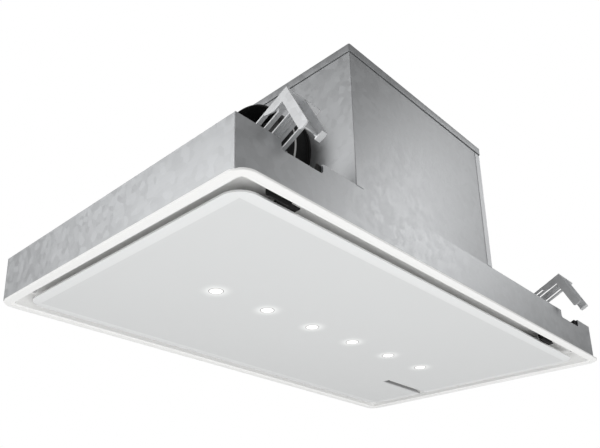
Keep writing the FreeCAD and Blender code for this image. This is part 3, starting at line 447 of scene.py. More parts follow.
class Graph:
    """The node tree of one material, with its Principled shader and its output."""

    def __init__(self, name: str) -> None:
        """Start a material that holds only its shader and its output."""
        self.material = bpy.data.materials.new(name)
        self.material.use_nodes = True
        self.tree = self.material.node_tree
        self.tree.nodes.clear()
        self.shader = self.tree.nodes.new("ShaderNodeBsdfPrincipled")
        out = self.tree.nodes.new("ShaderNodeOutputMaterial")
        self.tree.links.new(self.shader.outputs[0], out.inputs["Surface"])
        self._place: Optional[Value] = None

    def feed(self, socket: bpy.types.NodeSocket, value: "Value | float | Sequence[float]") -> None:
        """Link a value to a socket, or set the socket to a number or colour."""
        if isinstance(value, Value):
            self.tree.links.new(value.socket, socket)
        elif isinstance(value, (tuple, list)) and len(value) == 3 and socket.type == "RGBA":
            socket.default_value = (*value, 1.0)
        else:
            socket.default_value = value

    def node(self, kind: str, settings: Optional[dict] = None, inputs: Optional[dict] = None,
             output: int | str = 0) -> Value:
        """Any node of the tree.

        Args:
            kind: the node's type.
            settings: its properties, set first.
            inputs: socket name or number to the value or link it takes.
            output: name or number of the output wanted.

        Returns:
            The wrapped output socket.
        """
        made = self.tree.nodes.new(kind)
        for key, setting in (settings or {}).items():
            setattr(made, key, setting)
        for key, value in (inputs or {}).items():
            self.feed(made.inputs[key], value)
        return Value(self, made.outputs[output])

    def place(self) -> Value:
        """Object coordinates, in metres."""
        if self._place is None:
            self._place = self.node("ShaderNodeTexCoord", output="Object")
        return self._place

    def axes(self) -> tuple[Value, Value, Value]:
        """The three Object coordinates in millimetres."""
        scaled = self.node("ShaderNodeVectorMath", {"operation": "SCALE"},
                           {0: self.place(), "Scale": 1.0 / MM})
        split = self.node("ShaderNodeSeparateXYZ", None, {0: scaled})
        x, y, z = (Value(self, output) for output in split.socket.node.outputs)
        return x, y, z

    def noise(self, size: float, stretch: Colour = (1.0, 1.0, 1.0)) -> Value:
        """Noise with features of a size in millimetres, drawn out where its stretch is below 1."""
        spread = tuple(1.0 / MM * s / size for s in stretch)
        mapped = self.node("ShaderNodeMapping", None, {"Vector": self.place(), "Scale": spread})
        return self.node("ShaderNodeTexNoise", None, {"Vector": mapped, "Scale": 1.0, "Detail": 2.0})

    def mixed(self, factor: Value, first: "Value | Colour", second: "Value | Colour") -> Value:
        """A colour between two by a factor; a Mix node's colours are inputs 6 and 7 and output 2."""
        return self.node("ShaderNodeMix", {"data_type": "RGBA"}, {0: factor, 6: first, 7: second}, 2)

    def bump(self, height: Value, depth: float, strength: float) -> None:
        """Feed the shader's normal from a height, depth in millimetres."""
        relief = self.node("ShaderNodeBump", None, {"Height": height, "Distance": depth * MM,
                                                    "Strength": strength})
        self.feed(self.shader.inputs["Normal"], relief)

    def set(self, **sockets: "Value | float | Sequence[float]") -> None:
        """Set sockets of the shader by name, with _ for a blank."""
        for name, value in sockets.items():
            self.feed(self.shader.inputs[name.replace("_", " ")], value)


class Grain(Enum):
    """What the surface of a finish does up close."""

    COATED = "sprayed coat with a faint orange peel"
    ROLLED = "zinc sheet with soft spangles and rolling lines"
    GROUND = "metal with fine straight lines"
    MOULDED = "plastic with a fine matte skin"
    SMOOTH = "polished or clear surface"
    WOVEN = "crossed wires of a filter"


def tint(colour: Colour, by: float) -> Colour:
    """A colour made lighter or darker by a factor."""
    return tuple(min(1.0, c * by) for c in colour)


@dataclass(frozen=True)
class Finish:
    """One even finish: its colour, its grain and its gloss."""

    name: str
    colour: Colour
    grain: Grain
    roughness: float = 0.4
    metallic: float = 0.0
    specular: float = 0.5

    def build(self) -> bpy.types.Material:
        """Make the material.

        Returns:
            The material. Its colour and roughness vary a little with noise on Object coordinates.
        """
        g = Graph(self.name)
        g.set(Metallic=self.metallic, Specular_IOR_Level=self.specular)
        colour, roughness = self.GRAINS[self.grain](self, g)
        g.set(Base_Color=colour, Roughness=roughness)
        return g.material

    def _vary(self, g: Graph, mark: Value, low: float, high: float, gain: float,
              gloss: Optional[Value] = None) -> tuple[Value, Value]:
        """Colour and roughness that follow a mark between 0 and 1.

        Args:
            g: the material's graph.
            mark: what the colour follows.
            low: factor on the colour where the mark is 0.
            high: factor on the colour where the mark is 1.
            gain: how much the roughness changes over the mark's whole range.
            gloss: what the roughness follows, if not the mark.

        Returns:
            The colour and the roughness.
        """
        follow = mark if gloss is None else gloss
        return (g.mixed(mark, tint(self.colour, low), tint(self.colour, high)),
                self.roughness + gain * (follow - 0.5))

    def _coated(self, g: Graph) -> tuple[Value, Value]:
        """Soft uneven gloss with a shallow orange peel."""
        g.bump(g.noise(2.2), 0.02, 0.25)
        return self._vary(g, g.noise(160.0), 0.985, 1.01, 0.06)

    def _rolled(self, g: Graph) -> tuple[Value, Value]:
        """Spangles over long rolling lines.

        Returns:
            Colour and roughness, which follow the weighted sum of a broad noise, lines and spangles.
        """
        per_metre = 110.0
        mapped = g.node("ShaderNodeMapping", None, {"Vector": g.place(), "Scale": (per_metre,) * 3})
        cell = g.node("ShaderNodeTexVoronoi", {"feature": "F1"}, {"Vector": mapped, "Scale": 1.0},
                      "Color")
        spangle = g.node("ShaderNodeSeparateColor", None, {0: cell})
        lines = g.noise(3.0, (0.02, 0.02, 1.0))
        broad = g.noise(220.0)
        mark = 0.35 * broad + 0.25 * lines + 0.4 * spangle
        g.bump(lines + 0.5 * g.noise(5.0), 0.012, 0.12)
        return self._vary(g, mark, 0.86, 1.12, 0.16)

    def _ground(self, g: Graph) -> tuple[Value, Value]:
        """Fine lines along X."""
        lines = g.noise(0.8, (0.03, 1.0, 1.0))
        g.bump(lines, 0.01, 0.2)
        return self._vary(g, lines, 0.9, 1.08, 0.12)

    def _moulded(self, g: Graph) -> tuple[Value, Value]:
        """Fine pebbled skin."""
        fine = g.noise(0.9)
        g.bump(fine, 0.03, 0.3)
        return self._vary(g, g.noise(60.0), 0.92, 1.1, 0.12, gloss=fine)

    def _smooth(self, g: Graph) -> tuple[Value, Value]:
        """A barely uneven gloss."""
        return self._vary(g, g.noise(90.0), 0.98, 1.02, 0.04)

    def _woven(self, g: Graph) -> tuple[Value, Value]:
        """Two sets of round wires that cross at a right angle: the larger of two squared sines, with
        painted shade between the wires.
        """
        per_mm = 1.4
        x, y, _ = g.axes()
        wires = (x * per_mm).sine().power(2.0).most((y * per_mm).sine().power(2.0))
        g.bump(wires, 0.5, 0.9)
        # between the wires the colour falls to a quarter: painted shade in the openings of the mesh
        return g.mixed(wires, tint(self.colour, 0.25), self.colour), self.roughness + 0.1 * (1 - wires)

    GRAINS = {Grain.COATED: _coated, Grain.ROLLED: _rolled, Grain.GROUND: _ground,
              Grain.MOULDED: _moulded, Grain.SMOOTH: _smooth, Grain.WOVEN: _woven}


FINISHES: dict[str, Finish] = {f.name: f for f in (
    Finish("trim_paint", (0.86, 0.86, 0.85), Grain.COATED, 0.42),
    Finish("zinc_sheet", (0.52, 0.53, 0.54), Grain.ROLLED, 0.42, 0.85),
    Finish("screw_steel", (0.55, 0.55, 0.56), Grain.GROUND, 0.35, 1.0),
    Finish("shaft_steel", (0.50, 0.51, 0.52), Grain.GROUND, 0.3, 1.0),
    Finish("latch_steel", (0.58, 0.59, 0.60), Grain.GROUND, 0.32, 1.0),
    Finish("claw_zinc", (0.74, 0.75, 0.76), Grain.ROLLED, 0.42, 0.55),
    Finish("blower_plastic", (0.035, 0.035, 0.037), Grain.MOULDED, 0.5),
    Finish("impeller_plastic", (0.05, 0.05, 0.052), Grain.MOULDED, 0.45),
    Finish("motor_paint", (0.05, 0.055, 0.06), Grain.COATED, 0.4),
    Finish("capacitor_plastic", (0.72, 0.72, 0.70), Grain.SMOOTH, 0.35),
    # black_plastic is darker than the plastic's own black: partly its colour, partly painted shade down
    # the spigot's bore
    Finish("black_plastic", (0.006, 0.006, 0.006), Grain.MOULDED, 0.45, specular=0.3),
    Finish("damper_plastic", (0.02, 0.02, 0.021), Grain.MOULDED, 0.5),
    Finish("seal_rubber", (0.62, 0.62, 0.61), Grain.MOULDED, 0.5),
    Finish("filter_mesh", (0.70, 0.71, 0.72), Grain.WOVEN, 0.35, 1.0),
    Finish("filter_frame", (0.70, 0.71, 0.72), Grain.GROUND, 0.35, 1.0),
    Finish("tray_paint", (0.80, 0.80, 0.80), Grain.COATED, 0.45),
    Finish("lamp_can", (0.62, 0.62, 0.62), Grain.GROUND, 0.35, 1.0),
    # trough_plastic is darker than the light grey plastic of the touch slot: painted shade in the slot
    Finish("trough_plastic", (0.36, 0.36, 0.36), Grain.SMOOTH, 0.35),
    Finish("window_plastic", (0.012, 0.012, 0.014), Grain.SMOOTH, 0.25, specular=0.2),
    Finish("key_plastic", (0.38, 0.38, 0.38), Grain.MOULDED, 0.4),
    Finish("hinge_black", (0.004, 0.004, 0.004), Grain.COATED, 0.5, specular=0.15),
    Finish("magnet_black", (0.03, 0.03, 0.03), Grain.MOULDED, 0.5),
    Finish("case_plastic", (0.06, 0.06, 0.063), Grain.MOULDED, 0.45),
    # black as painted shade, for the wedges at the notches
    Finish("shade_black", (0.01, 0.01, 0.01), Grain.MOULDED, 0.8),
)}


def lamp_distance(x: Value, y: Value, pitch: float) -> Value:
    """The distance to the nearest lamp of an endless row along X, from x wrapped over the pitch."""
    wrapped = x.wrap(pitch, 0.0) - pitch / 2
    return (wrapped * wrapped + y * y).power(0.5)


@dataclass(frozen=True)
class GlassFinish:
    """White glass painted on the back: a clear gloss over an even colour, with a painted highlight along
    the bevel and a painted glow round each lamp.
    """

    name: str = "white_glass"
    colour: Colour = (0.68, 0.69, 0.69)
    # the lighter colour along the bevel is a painted highlight, where the bevel catches light
    painted_bevel_light: Colour = (0.77, 0.78, 0.78)
    painted_bevel_light_width: float = 15.0
    painted_bevel_light_edge: float = 1.2
    # the settings below paint a glow of lamp light onto the glass round each lamp
    painted_halo: float = 3.4
    row_end: float = 300.0
    glow: Colour = (1.0, 1.0, 0.98)
    strength: float = 0.45

    def build(self) -> bpy.types.Material:
        """Make the material.

        Returns:
            The material. The band's mask grows with the larger of |x| less half_x and |y - middle_y|
            less half_y. The halo of each lamp falls off to nothing at halo times the lamp's radius.
        """
        g = Graph(self.name)
        x, y, _ = g.axes()
        # painted glow of lamp light on the glass, which is no lamp itself
        reach = self.painted_halo * Panel.lamp_radius
        glow = (1 - lamp_distance(x, y, Panel.lamp_pitch).ramp(0.0, reach)).power(2.0)
        glow = glow * (1 - abs(x).ramp(self.row_end - 2.0, self.row_end))
        # painted highlight along the bevel: the colour turns lighter near the edge
        depth = (abs(x) - Panel.half_x).most(abs(y - Panel.middle_y) - Panel.half_y)
        painted_bevel_light = depth.ramp(-self.painted_bevel_light_width - self.painted_bevel_light_edge, -self.painted_bevel_light_width)
        g.set(Base_Color=g.mixed(painted_bevel_light, self.colour, self.painted_bevel_light), Roughness=0.30 + 0.03 * g.noise(200.0),
              Coat_Weight=0.5, Coat_Roughness=0.08, Emission_Strength=self.strength,
              Emission_Color=g.mixed(glow, (0.0, 0.0, 0.0), self.glow))
        return g.material


@dataclass(frozen=True)
class LampFinish:
    """Frosted lens that glows from its middle outwards."""

    name: str = "lamp_lens"
    colour: Colour = (0.95, 0.95, 0.93)
    glow: Colour = (1.0, 0.98, 0.94)
    strength: float = 0.9

    def build(self) -> bpy.types.Material:
        """Make the material.

        Returns:
            The material. It is brightest in the middle of each lamp.
        """
        g = Graph(self.name)
        x, y, _ = g.axes()
        radius = Panel.lamp_radius
        fade = 1 - lamp_distance(x, y, Panel.lamp_pitch).ramp(0.25 * radius, radius)
        g.set(Base_Color=self.colour, Roughness=0.35, Emission_Strength=self.strength,
              Emission_Color=g.mixed(fade, tint(self.glow, 0.55), self.glow))
        return g.material


class Paintbox:
    """Makes each finish once and hands it to pieces and to the solids' own nodes."""

    def __init__(self) -> None:
        """Start with nothing made."""
        self.makers = {**FINISHES, "white_glass": GlassFinish(), "lamp_lens": LampFinish()}
        self.made: dict[str, bpy.types.Material] = {}

    def __getitem__(self, name: str) -> bpy.types.Material:
        """The material of a finish."""
        if name not in self.made:
            self.made[name] = self.makers[name].build()
        return self.made[name]

    def dress_nodes(self) -> None:
        """Give every node of the solids the material of its slot in the record."""
        slots = {part["node"]: part["material_slot"] for part in frame["record"]["subparts"]}
        for name, thing in frame["nodes"].items():
            material = self[slots[name]]
            if not thing.data.materials:
                thing.data.materials.append(material)
            for index in range(len(thing.data.materials)):
                thing.data.materials[index] = material


PAINT = Paintbox()


def linked(name: str, data: Optional[bpy.types.ID]) -> bpy.types.Object:
    """A new object of the scene with this data."""
    thing = bpy.data.objects.new(name, data)
    bpy.context.scene.collection.objects.link(thing)
    return thing


def piece(name: str, surface: Surface, finish: str, body: str,
          replaces: Sequence[str] = (), smooth: float = 35.0) -> None:
    """Turn a surface into an object of the scene, at the origin and with its faces pointing outward.

    Args:
        name: the object's name.
        surface: its points in millimetres and its faces.
        finish: name of its finish.
        body: the rigid body it rides on.
        replaces: nodes of the solids that it stands for.
        smooth: angle in degrees below which an edge is shaded smooth.
    """
    mesh = bpy.data.meshes.new(name)
    mesh.from_pydata((surface.points * MM).tolist(), [], surface.faces)
    work = bmesh.new()
    work.from_mesh(mesh)
    bmesh.ops.recalc_face_normals(work, faces=work.faces)
    work.to_mesh(mesh)
    work.free()
    mesh.materials.append(PAINT[finish])
    mesh.polygons.foreach_set("use_smooth", np.ones(len(mesh.polygons), dtype=bool))
    mesh.set_sharp_from_angle(angle=math.radians(smooth))
    thing = linked(name, mesh)
    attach(thing, body)
    if replaces:
        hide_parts(*replaces)
    LOG.info("%s: %d faces", name, len(mesh.polygons))


# ---------------------------------------------------------------- rim and cove
@dataclass
class Rim:
    """Painted rim under the ceiling, with its stepped recess and the cove round the air gap."""

    half_x: float = 450.0
    half_y: float = 252.5
    corner: float = 22.0
    lip: float = 3.0
    flat: float = 10.0
    step: float = 1.6
    seat_depth: float = 0.5
    seat_x: float = 448.5
    seat_y: float = 242.3
    cove_inset: float = 15.0
    cove_run: float = 8.0
    cove_top: float = 18.0
    nose: float = 1.2

    def section(self) -> list[tuple[float, float]]:
        """The closed profile as rows of (inset, height), with a round nose and soft folds.

        Returns:
            The rows. The cove's inset grows with v to the power 1.25 while its height grows with v.
        """
        lower = [(self.nose * (1 - math.cos(a)), -self.lip + self.nose * (1 - math.sin(a)))
                 for a in arc(0, 90, 5)]
        fold = self.step * 0.6
        recess = [(self.flat - 0.4, -self.lip), (self.flat, -self.lip + 0.3),
                  (self.flat + 0.1, -self.lip + fold), (self.flat + 0.9, -self.lip + self.step - 0.1),
                  (self.flat + 2.0, -self.lip + self.step)]
        inner = [(self.cove_inset + self.cove_run * v ** 1.25, -self.lip + self.step
                  + (self.cove_top + self.lip - self.step) * v) for v in np.linspace(0, 1, 9)]
        outer = [(inset - SHEET, height) for inset, height in inner[::-1]]
        back = [(self.cove_inset - SHEET - 0.5, -self.seat_depth), (0.0, -self.seat_depth)]
        return lower + recess + inner + outer[:-1] + back

    def ledge(self) -> Surface:
        """The upper face outside the walls' seat: the outline's caps beyond the seat's four sides.

        Returns:
            Four thin blocks, each between a side of the seat and the outline.
        """
        plan = rounded(self.half_x, self.half_y, self.corner, 12)
        parts = []
        for axis, limit in ((0, self.seat_x), (1, self.seat_y)):
            for side in SIDES:
                cap = plan[side * plan[:, axis] > limit]
                cap = cap[np.argsort(cap[:, 1 - axis])]
                foot = cap[[-1, 0]].copy()
                foot[:, axis] = side * limit
                parts.append(extrude(np.concatenate([cap, foot]), (-self.seat_depth - 0.05, 0.0)))
        return total(parts)

    def build(self) -> None:
        """Make the rim and the cove as one frame."""
        shape = rings(self.half_x, self.half_y, self.corner, self.section(), closed=True, steps=12,
                      corner_least=6.0)
        piece("rim_and_cove", shape + self.ledge(), "trim_paint", "housing", replaces=["trim_frame"],
              smooth=20.0)


# ---------------------------------------------------------------- lower body
@dataclass
class LowerBody:
    """Galvanised walls with a folded top flange, notched for the clamps."""

    half_x: float = 448.0
    half_y: float = WALL_Y
    foot: float = -0.5
    top: float = BODY_TOP
    flange: float = 14.0
    notch_bottom: float = 53.0
    notch_width: float = 70.0
    # the wedges sized below are painted shade under the flanges' cut ends
    notch_round: float = 5.0
    shade_wedge_width: float = 9.0
    shade_wedge_inset: float = 3.0

    def wall_top(self, x: Array) -> Array:
        """Height of a long wall's upper edge at x.

        It is the wall's top less the notch depth where x is inside a notch; the notch's lower corners
        follow a quarter circle: bottom + r - sqrt(r^2 - (r - d)^2), with d the distance to the side.

        Args:
            x: array (n).

        Returns:
            Array (n) of heights.
        """
        d = self.notch_width / 2 - np.abs(x[:, None] - np.array(CLAMP_X)).min(axis=1)
        r = self.notch_round
        curve = r - np.sqrt(np.clip(r * r - (r - np.clip(d, 0, r)) ** 2, 0, None))
        return np.where(d > 0, self.notch_bottom + curve, self.top)

    def long_wall(self, side: int) -> Surface:
        """One long wall: columns at x, rows from the foot to the upper edge, with a thickness of sheet.

        Args:
            side: -1 for the front wall, 1 for the back one.

        Returns:
            The closed surface.
        """
        marks, bend = [], self.notch_round * (1 - np.cos(arc(0, 90, 7)))
        for centre in CLAMP_X:
            for end in SIDES:
                foot = centre + end * self.notch_width / 2
                marks += [foot + end * 0.01, *(foot - end * bend)]
        x = np.unique(np.concatenate([np.linspace(-self.half_x, self.half_x, 31), marks]))
        top = self.wall_top(x)
        levels = [self.foot + v * (top - self.foot) for v in (0.0, 0.33, 0.66, 1.0)]
        outer = np.stack([np.column_stack([x, np.full_like(x, self.half_y), z]) for z in levels])
        inner = outer[::-1].copy()
        inner[..., 1] -= SHEET
        wall = skin(np.concatenate([outer, inner]).transpose(1, 0, 2))
        return wall if side > 0 else wall.placed(MIRROR_Y)

    def flanges(self) -> Surface:
        """Strips folded inward at the walls' top, cut back at the notches and under the motor box.

        Returns:
            The strips of all four walls.
        """
        z = (self.top - SHEET, self.top)
        inner = self.half_y - SHEET
        inner_x = self.half_x - SHEET
        half = self.notch_width / 2
        left, right = CLAMP_X
        edges = [-inner_x, left - half, left + half, BOX_LEFT + SHEET, BOX_RIGHT - SHEET,
                 right - half, right + half, inner_x]
        parts = []
        for side in SIDES:
            y = span(side, inner, inner - self.flange)
            parts += [slab(x, y, z, 0.3, 0.2, 1) for x in zip(edges[::2], edges[1::2])]
            parts.append(slab(span(side, inner_x, inner_x - self.flange),
                              (-inner + self.flange, inner - self.flange), z, 0.3, 0.2, 1))
        return total(parts)

    def build(self) -> None:
        """Make the walls, the flanges and black wedges at the notches, which are painted shade under the
        flanges' cut ends.
        """
        end = slab((self.half_x - SHEET, self.half_x), (-self.half_y, self.half_y),
                   (self.foot, self.top), 0.4, 0.2, 1)
        ends = end + end.placed(HALF_TURN)
        walls = self.long_wall(-1) + self.long_wall(1) + ends + self.flanges()
        piece("body_walls", walls, "zinc_sheet", "housing", replaces=["body_shell"], smooth=16.0)
        # black wedges at the notches: painted shade under the cut ends of the top flanges
        shade_wedges = []
        for side in SIDES:
            for centre in CLAMP_X:
                foot = centre + self.notch_width / 2
                y = self.half_y - self.shade_wedge_inset
                plan = np.array([[foot - self.shade_wedge_width, y], [foot - 0.1, y],
                                 [foot - 0.1, self.half_y - self.flange]]) * [1, side]
                plan = plan if side < 0 else plan[::-1]
                shade_wedges.append(extrude(plan, (self.notch_bottom - SHEET, self.top - SHEET)))
        piece("notch_shade_wedges", total(shade_wedges), "shade_black", "housing")


# ---------------------------------------------------------------- motor box and its lid
@dataclass
class MotorBox:
    """Upper housing: a folded sheet on three sides, a holed end plate with lapped seams, and a lid."""

    left: float = BOX_LEFT
    right: float = BOX_RIGHT
    half_y: float = WALL_Y
    low: float = BODY_TOP
    top: float = 274.0
    skirt_low: float = 52.0
    skirt_y: float = 226.8
    fold: float = 2.0
    seam: float = 14.0
    seam_rise: float = 0.5
    lid_top: float = 275.0
    lid_lip: float = 12.0
    lid_reach: float = 1.7
    lid_fold: float = 1.6
    lid_corner: float = 2.5
    lid_hem: float = 6.0
    duct_radius: float = 71.5

    def folded_sheet(self) -> Surface:
        """Front, right and back wall as one sheet with round folds, carried up from low to top."""
        plan = np.concatenate([self.path(0.0), self.path(SHEET)[::-1]])
        return extrude(plan, (self.low, self.top))

    def path(self, inset: float) -> Array:
        """The plan of the folded sheet's face, from the front left edge round to the back left edge.

        Args:
            inset: distance inward from the outer face.

        Returns:
            Array (14, 2).
        """
        r, start = self.fold - inset, self.left + SHEET
        x, y = self.right - inset - r, self.half_y - inset - r
        return np.concatenate([[[start, -self.half_y + inset]], circle(x, -y, r, arc(-90, 0, 6)),
                               circle(x, y, r, arc(0, 90, 6)), [[start, self.half_y - inset]]])

    def end_plate(self) -> Surface:
        """Left wall with the duct hole, and the seams lapped over the front and back walls.

        Returns:
            The plate and four flat strips.
        """
        half_z = (self.top - self.low) / 2
        middle = (self.top + self.low) / 2
        plate = holed_plate(self.half_y, half_z, self.duct_radius, SHEET, (DUCT_Y, DUCT_Z - middle))
        upright = np.array([[0.0, 0.0, -1.0], [1.0, 0.0, 0.0], [0.0, 1.0, 0.0]])
        z = (self.low, self.top - self.lid_lip - 1)
        seams = [(self.left, self.left + self.seam), (self.right - self.seam, self.right - 0.5)]
        return total([plate.placed(upright, (self.left, 0.0, middle)),
                      *(slab(x, span(side, self.half_y, self.half_y + self.seam_rise), z, 0.3, 0.15, 1)
                        for side in SIDES for x in seams)])

    def skirts(self) -> Surface:
        """The end walls' lower parts, which stand on the recessed plate."""
        z = (self.skirt_low, self.low)
        y = (-self.skirt_y, self.skirt_y)
        return (slab((self.left, self.left + SHEET), y, z, 0.2, 0.1, 1)
                + slab((self.right - SHEET, self.right), y, z, 0.2, 0.1, 1))

    def lid(self) -> Surface:
        """Flat cover with round shoulders and a lip.

        Returns:
            The closed surface. Its profile runs out over the top, down the lip and back inside.
        """
        half_x = (self.right - self.left) / 2 + self.lid_reach
        half_y = self.half_y + self.lid_reach
        r, top, low = self.lid_fold, self.lid_top, self.lid_top - self.lid_lip
        shoulder = [(r * (1 - math.sin(a)), top - r * (1 - math.cos(a))) for a in arc(0, 90, 5)]
        section = [(self.lid_hem, top), *shoulder, (0.0, low + 0.2), (0.2, low), (SHEET, low),
                   (SHEET, top - r), (r, top - SHEET), (self.lid_hem, top - SHEET)]
        cover = rings(half_x, half_y, self.lid_corner, section, steps=5)
        return cover.moved((self.left + self.right) / 2)

    def build(self) -> None:
        """Make the walls and the lid."""
        walls = self.folded_sheet() + self.end_plate() + self.skirts()
        piece("motor_box_walls", walls, "zinc_sheet", "housing", replaces=["motor_box"], smooth=19.0)
        piece("motor_box_cover", self.lid(), "zinc_sheet", "housing", replaces=["motor_box_lid"],
              smooth=19.0)


# ---------------------------------------------------------------- outlet
@dataclass
class Spigot:
    """Black duct spigot with its flange, a rounded mouth, the seal's groove and a pale lip seal."""

    radius: float = 74.0
    wall: float = 2.5
    length: float = 55.0
    flange: float = 3.0
    flange_thick: float = 3.0
    groove: float = 0.5
    groove_end: float = 1.4
    seal_at: float = 25.0
    seal_width: float = 3.0
    seal_rise: float = 0.2
    segments: int = 128

    def tube(self) -> Surface:
        """Profile of (radius, distance from the box), turned about the duct's axis.

        Returns:
            The closed surface: flange, wall with the seal's groove, round mouth and bore.
        """
        r, b, n = self.radius, self.radius - self.wall, self.length
        edge, thick = r + self.flange, self.flange_thick
        near, far = self.seal_at - self.groove_end, self.seal_at + self.seal_width + self.groove_end
        section = [(edge - 0.4, 0.0), (edge, 0.5), (edge, thick - 0.6), (edge - 0.6, thick),
                   (r + 0.8, thick), (r, thick + 0.8), (r, near - 0.6), (r - self.groove, near),
                   (r - self.groove, far), (r, far + 0.6), (r, n - 3.0), (r - 0.4, n - 1.0),
                   (r - 1.1, n), (b + 0.4, n), (b, n - 0.5), (b, 0.0)]
        return lathe(section, closed=True, segments=self.segments)

    def seal(self) -> Surface:
        """A soft lip in its groove.

        Returns:
            The closed surface. Its section is a half round on a flat foot.
        """
        crown = [(self.radius + self.seal_rise * math.sin(a),
                  self.seal_at + self.seal_width / 2 * (1 - math.cos(a))) for a in arc(0, 180, 7)]
        foot = [(self.radius - self.groove, self.seal_at + self.seal_width),
                (self.radius - self.groove, self.seal_at)]
        return lathe(crown + foot, closed=True, segments=self.segments)

    def build(self) -> None:
        """Make the spigot and its seal, both pointing along -X."""
        place = (BOX_LEFT, DUCT_Y, DUCT_Z)
        turn = np.array([[0.0, 0.0, -1.0], [0.0, 1.0, 0.0], [1.0, 0.0, 0.0]])
        piece("duct_spigot", self.tube().placed(turn, place), "black_plastic", "housing",
              replaces=["outlet_spigot"], smooth=40.0)
        piece("lip_seal", self.seal().placed(turn, place), "seal_rubber", "housing",
              replaces=["spigot_seal"], smooth=60.0)


# ---------------------------------------------------------------- glass panel
@dataclass
class GlassPanel(Panel):
    """White glass with a shallow bevel, its lamps and the touch slot."""

    corner: float = 28.0
    bottom: float = -1.0
    thick: float = 4.0
    bevel: float = 14.0
    rise: float = 1.2
    slot_start: float = 284.0
    slot_y: float = 98.0
    slot_half: float = 7.0
    slot_round: float = 3.0
    slot_straight: float = 60.0
    slot_reach: float = 0.03
    start_y: float = -120.0
    flat_margin: float = 6.0
    dome_proud: float = 0.12
    dome_rise: float = 0.45

    def outline(self) -> tuple[Array, Array]:
        """The plan outline with the slot let in at the right edge.

        Returns:
            The points, counter-clockwise, and for each how far the bevel reaches in: all of it on the
            outer edge, next to nothing along the slot.
        """
        plan = rounded(self.half_x, self.half_y, self.corner, 12) + [0.0, self.middle_y]
        x, low, high = self.half_x, self.slot_y - self.slot_half, self.slot_y + self.slot_half
        t, r = arc(-90, -270, 9), self.slot_round
        end = circle(self.slot_start + r, self.slot_y + np.sign(np.sin(t)) * (self.slot_half - r), r, t)
        marks = (x - 1.0, x - self.bevel, x - self.slot_straight)
        lower = [[x, self.start_y], [x, low - 1.0], *([mark, low] for mark in marks)]
        upper = [*([mark, high] for mark in marks[::-1]), [x, high + 1.0]]
        slot = np.concatenate([lower, end, upper])
        reach = np.ones(len(slot) + len(plan))
        reach[2:len(slot) - 1] = self.slot_reach
        return np.concatenate([slot, plan]), reach

    def glass(self) -> Surface:
        """Rows of the outline from the flat under face out over the bevel and up the polished edge.

        Returns:
            The closed surface. On the bevel the inset is bevel (1 - v) and the height is
            bottom + rise v^1.6.
        """
        plan, reach = self.outline()
        top = self.bottom + self.thick
        rows = [raised(inset_outline(plan, (self.bevel + self.flat_margin) * reach), self.bottom)]
        rows += [raised(inset_outline(plan, self.bevel * (1 - v) * reach),
                        self.bottom + self.rise * (v ** 1.6) * reach) for v in np.linspace(0, 1, 7)]
        edge = [(0.0, self.bottom + self.rise + 0.3), (0.0, top - 0.5), (0.15, top - 0.15), (0.5, top)]
        rows += [raised(inset_outline(plan, inset), height) for inset, height in edge]
        return skin(np.stack(rows))

    def lamp_places(self) -> list[float]:
        """The x of every lamp."""
        first = -self.lamp_pitch * (self.lamp_count - 1) / 2
        return [first + self.lamp_pitch * i for i in range(self.lamp_count)]

    def lenses(self) -> Surface:
        """Shallow domes just proud of the glass.

        Returns:
            The surface. At v radii from a dome's middle it stands below the glass by dome_proud +
            dome_rise cos(90 v degrees).
        """
        r, hub, foot = self.lamp_radius, 0.02, self.bottom - self.dome_proud
        dome = [(max(r * v, hub), foot - self.dome_rise * math.cos(v * math.pi / 2))
                for v in np.linspace(0, 1, 9)]
        lens = lathe([*dome, (r, self.bottom + 1.0), (hub, self.bottom + 1.0)], segments=48)
        return total(lens.moved(x) for x in self.lamp_places())

    def bezels(self) -> Surface:
        """A thin ring round each lens.

        Returns:
            The rings of all lamps.
        """
        r, z = self.lamp_radius, self.bottom
        section = [(r, z + 0.5), (r, z - 0.2), (r + 0.3, z - 0.35), (r + 1.0, z - 0.3), (r + 1.4, z),
                   (r + 1.4, z + 0.5)]
        ring = lathe(section, closed=True, segments=48)
        return total(ring.moved(x) for x in self.lamp_places())

    def build(self) -> None:
        """Make the glass, the lenses and their rings."""
        piece("panel_glass", self.glass(), "white_glass", "panel", replaces=["glass_panel"],
              smooth=25.0)
        piece("lens_domes", self.lenses(), "lamp_lens", "panel", replaces=["lamp_lenses"], smooth=60.0)
        piece("lens_rings", self.bezels(), "trough_plastic", "panel", smooth=40.0)


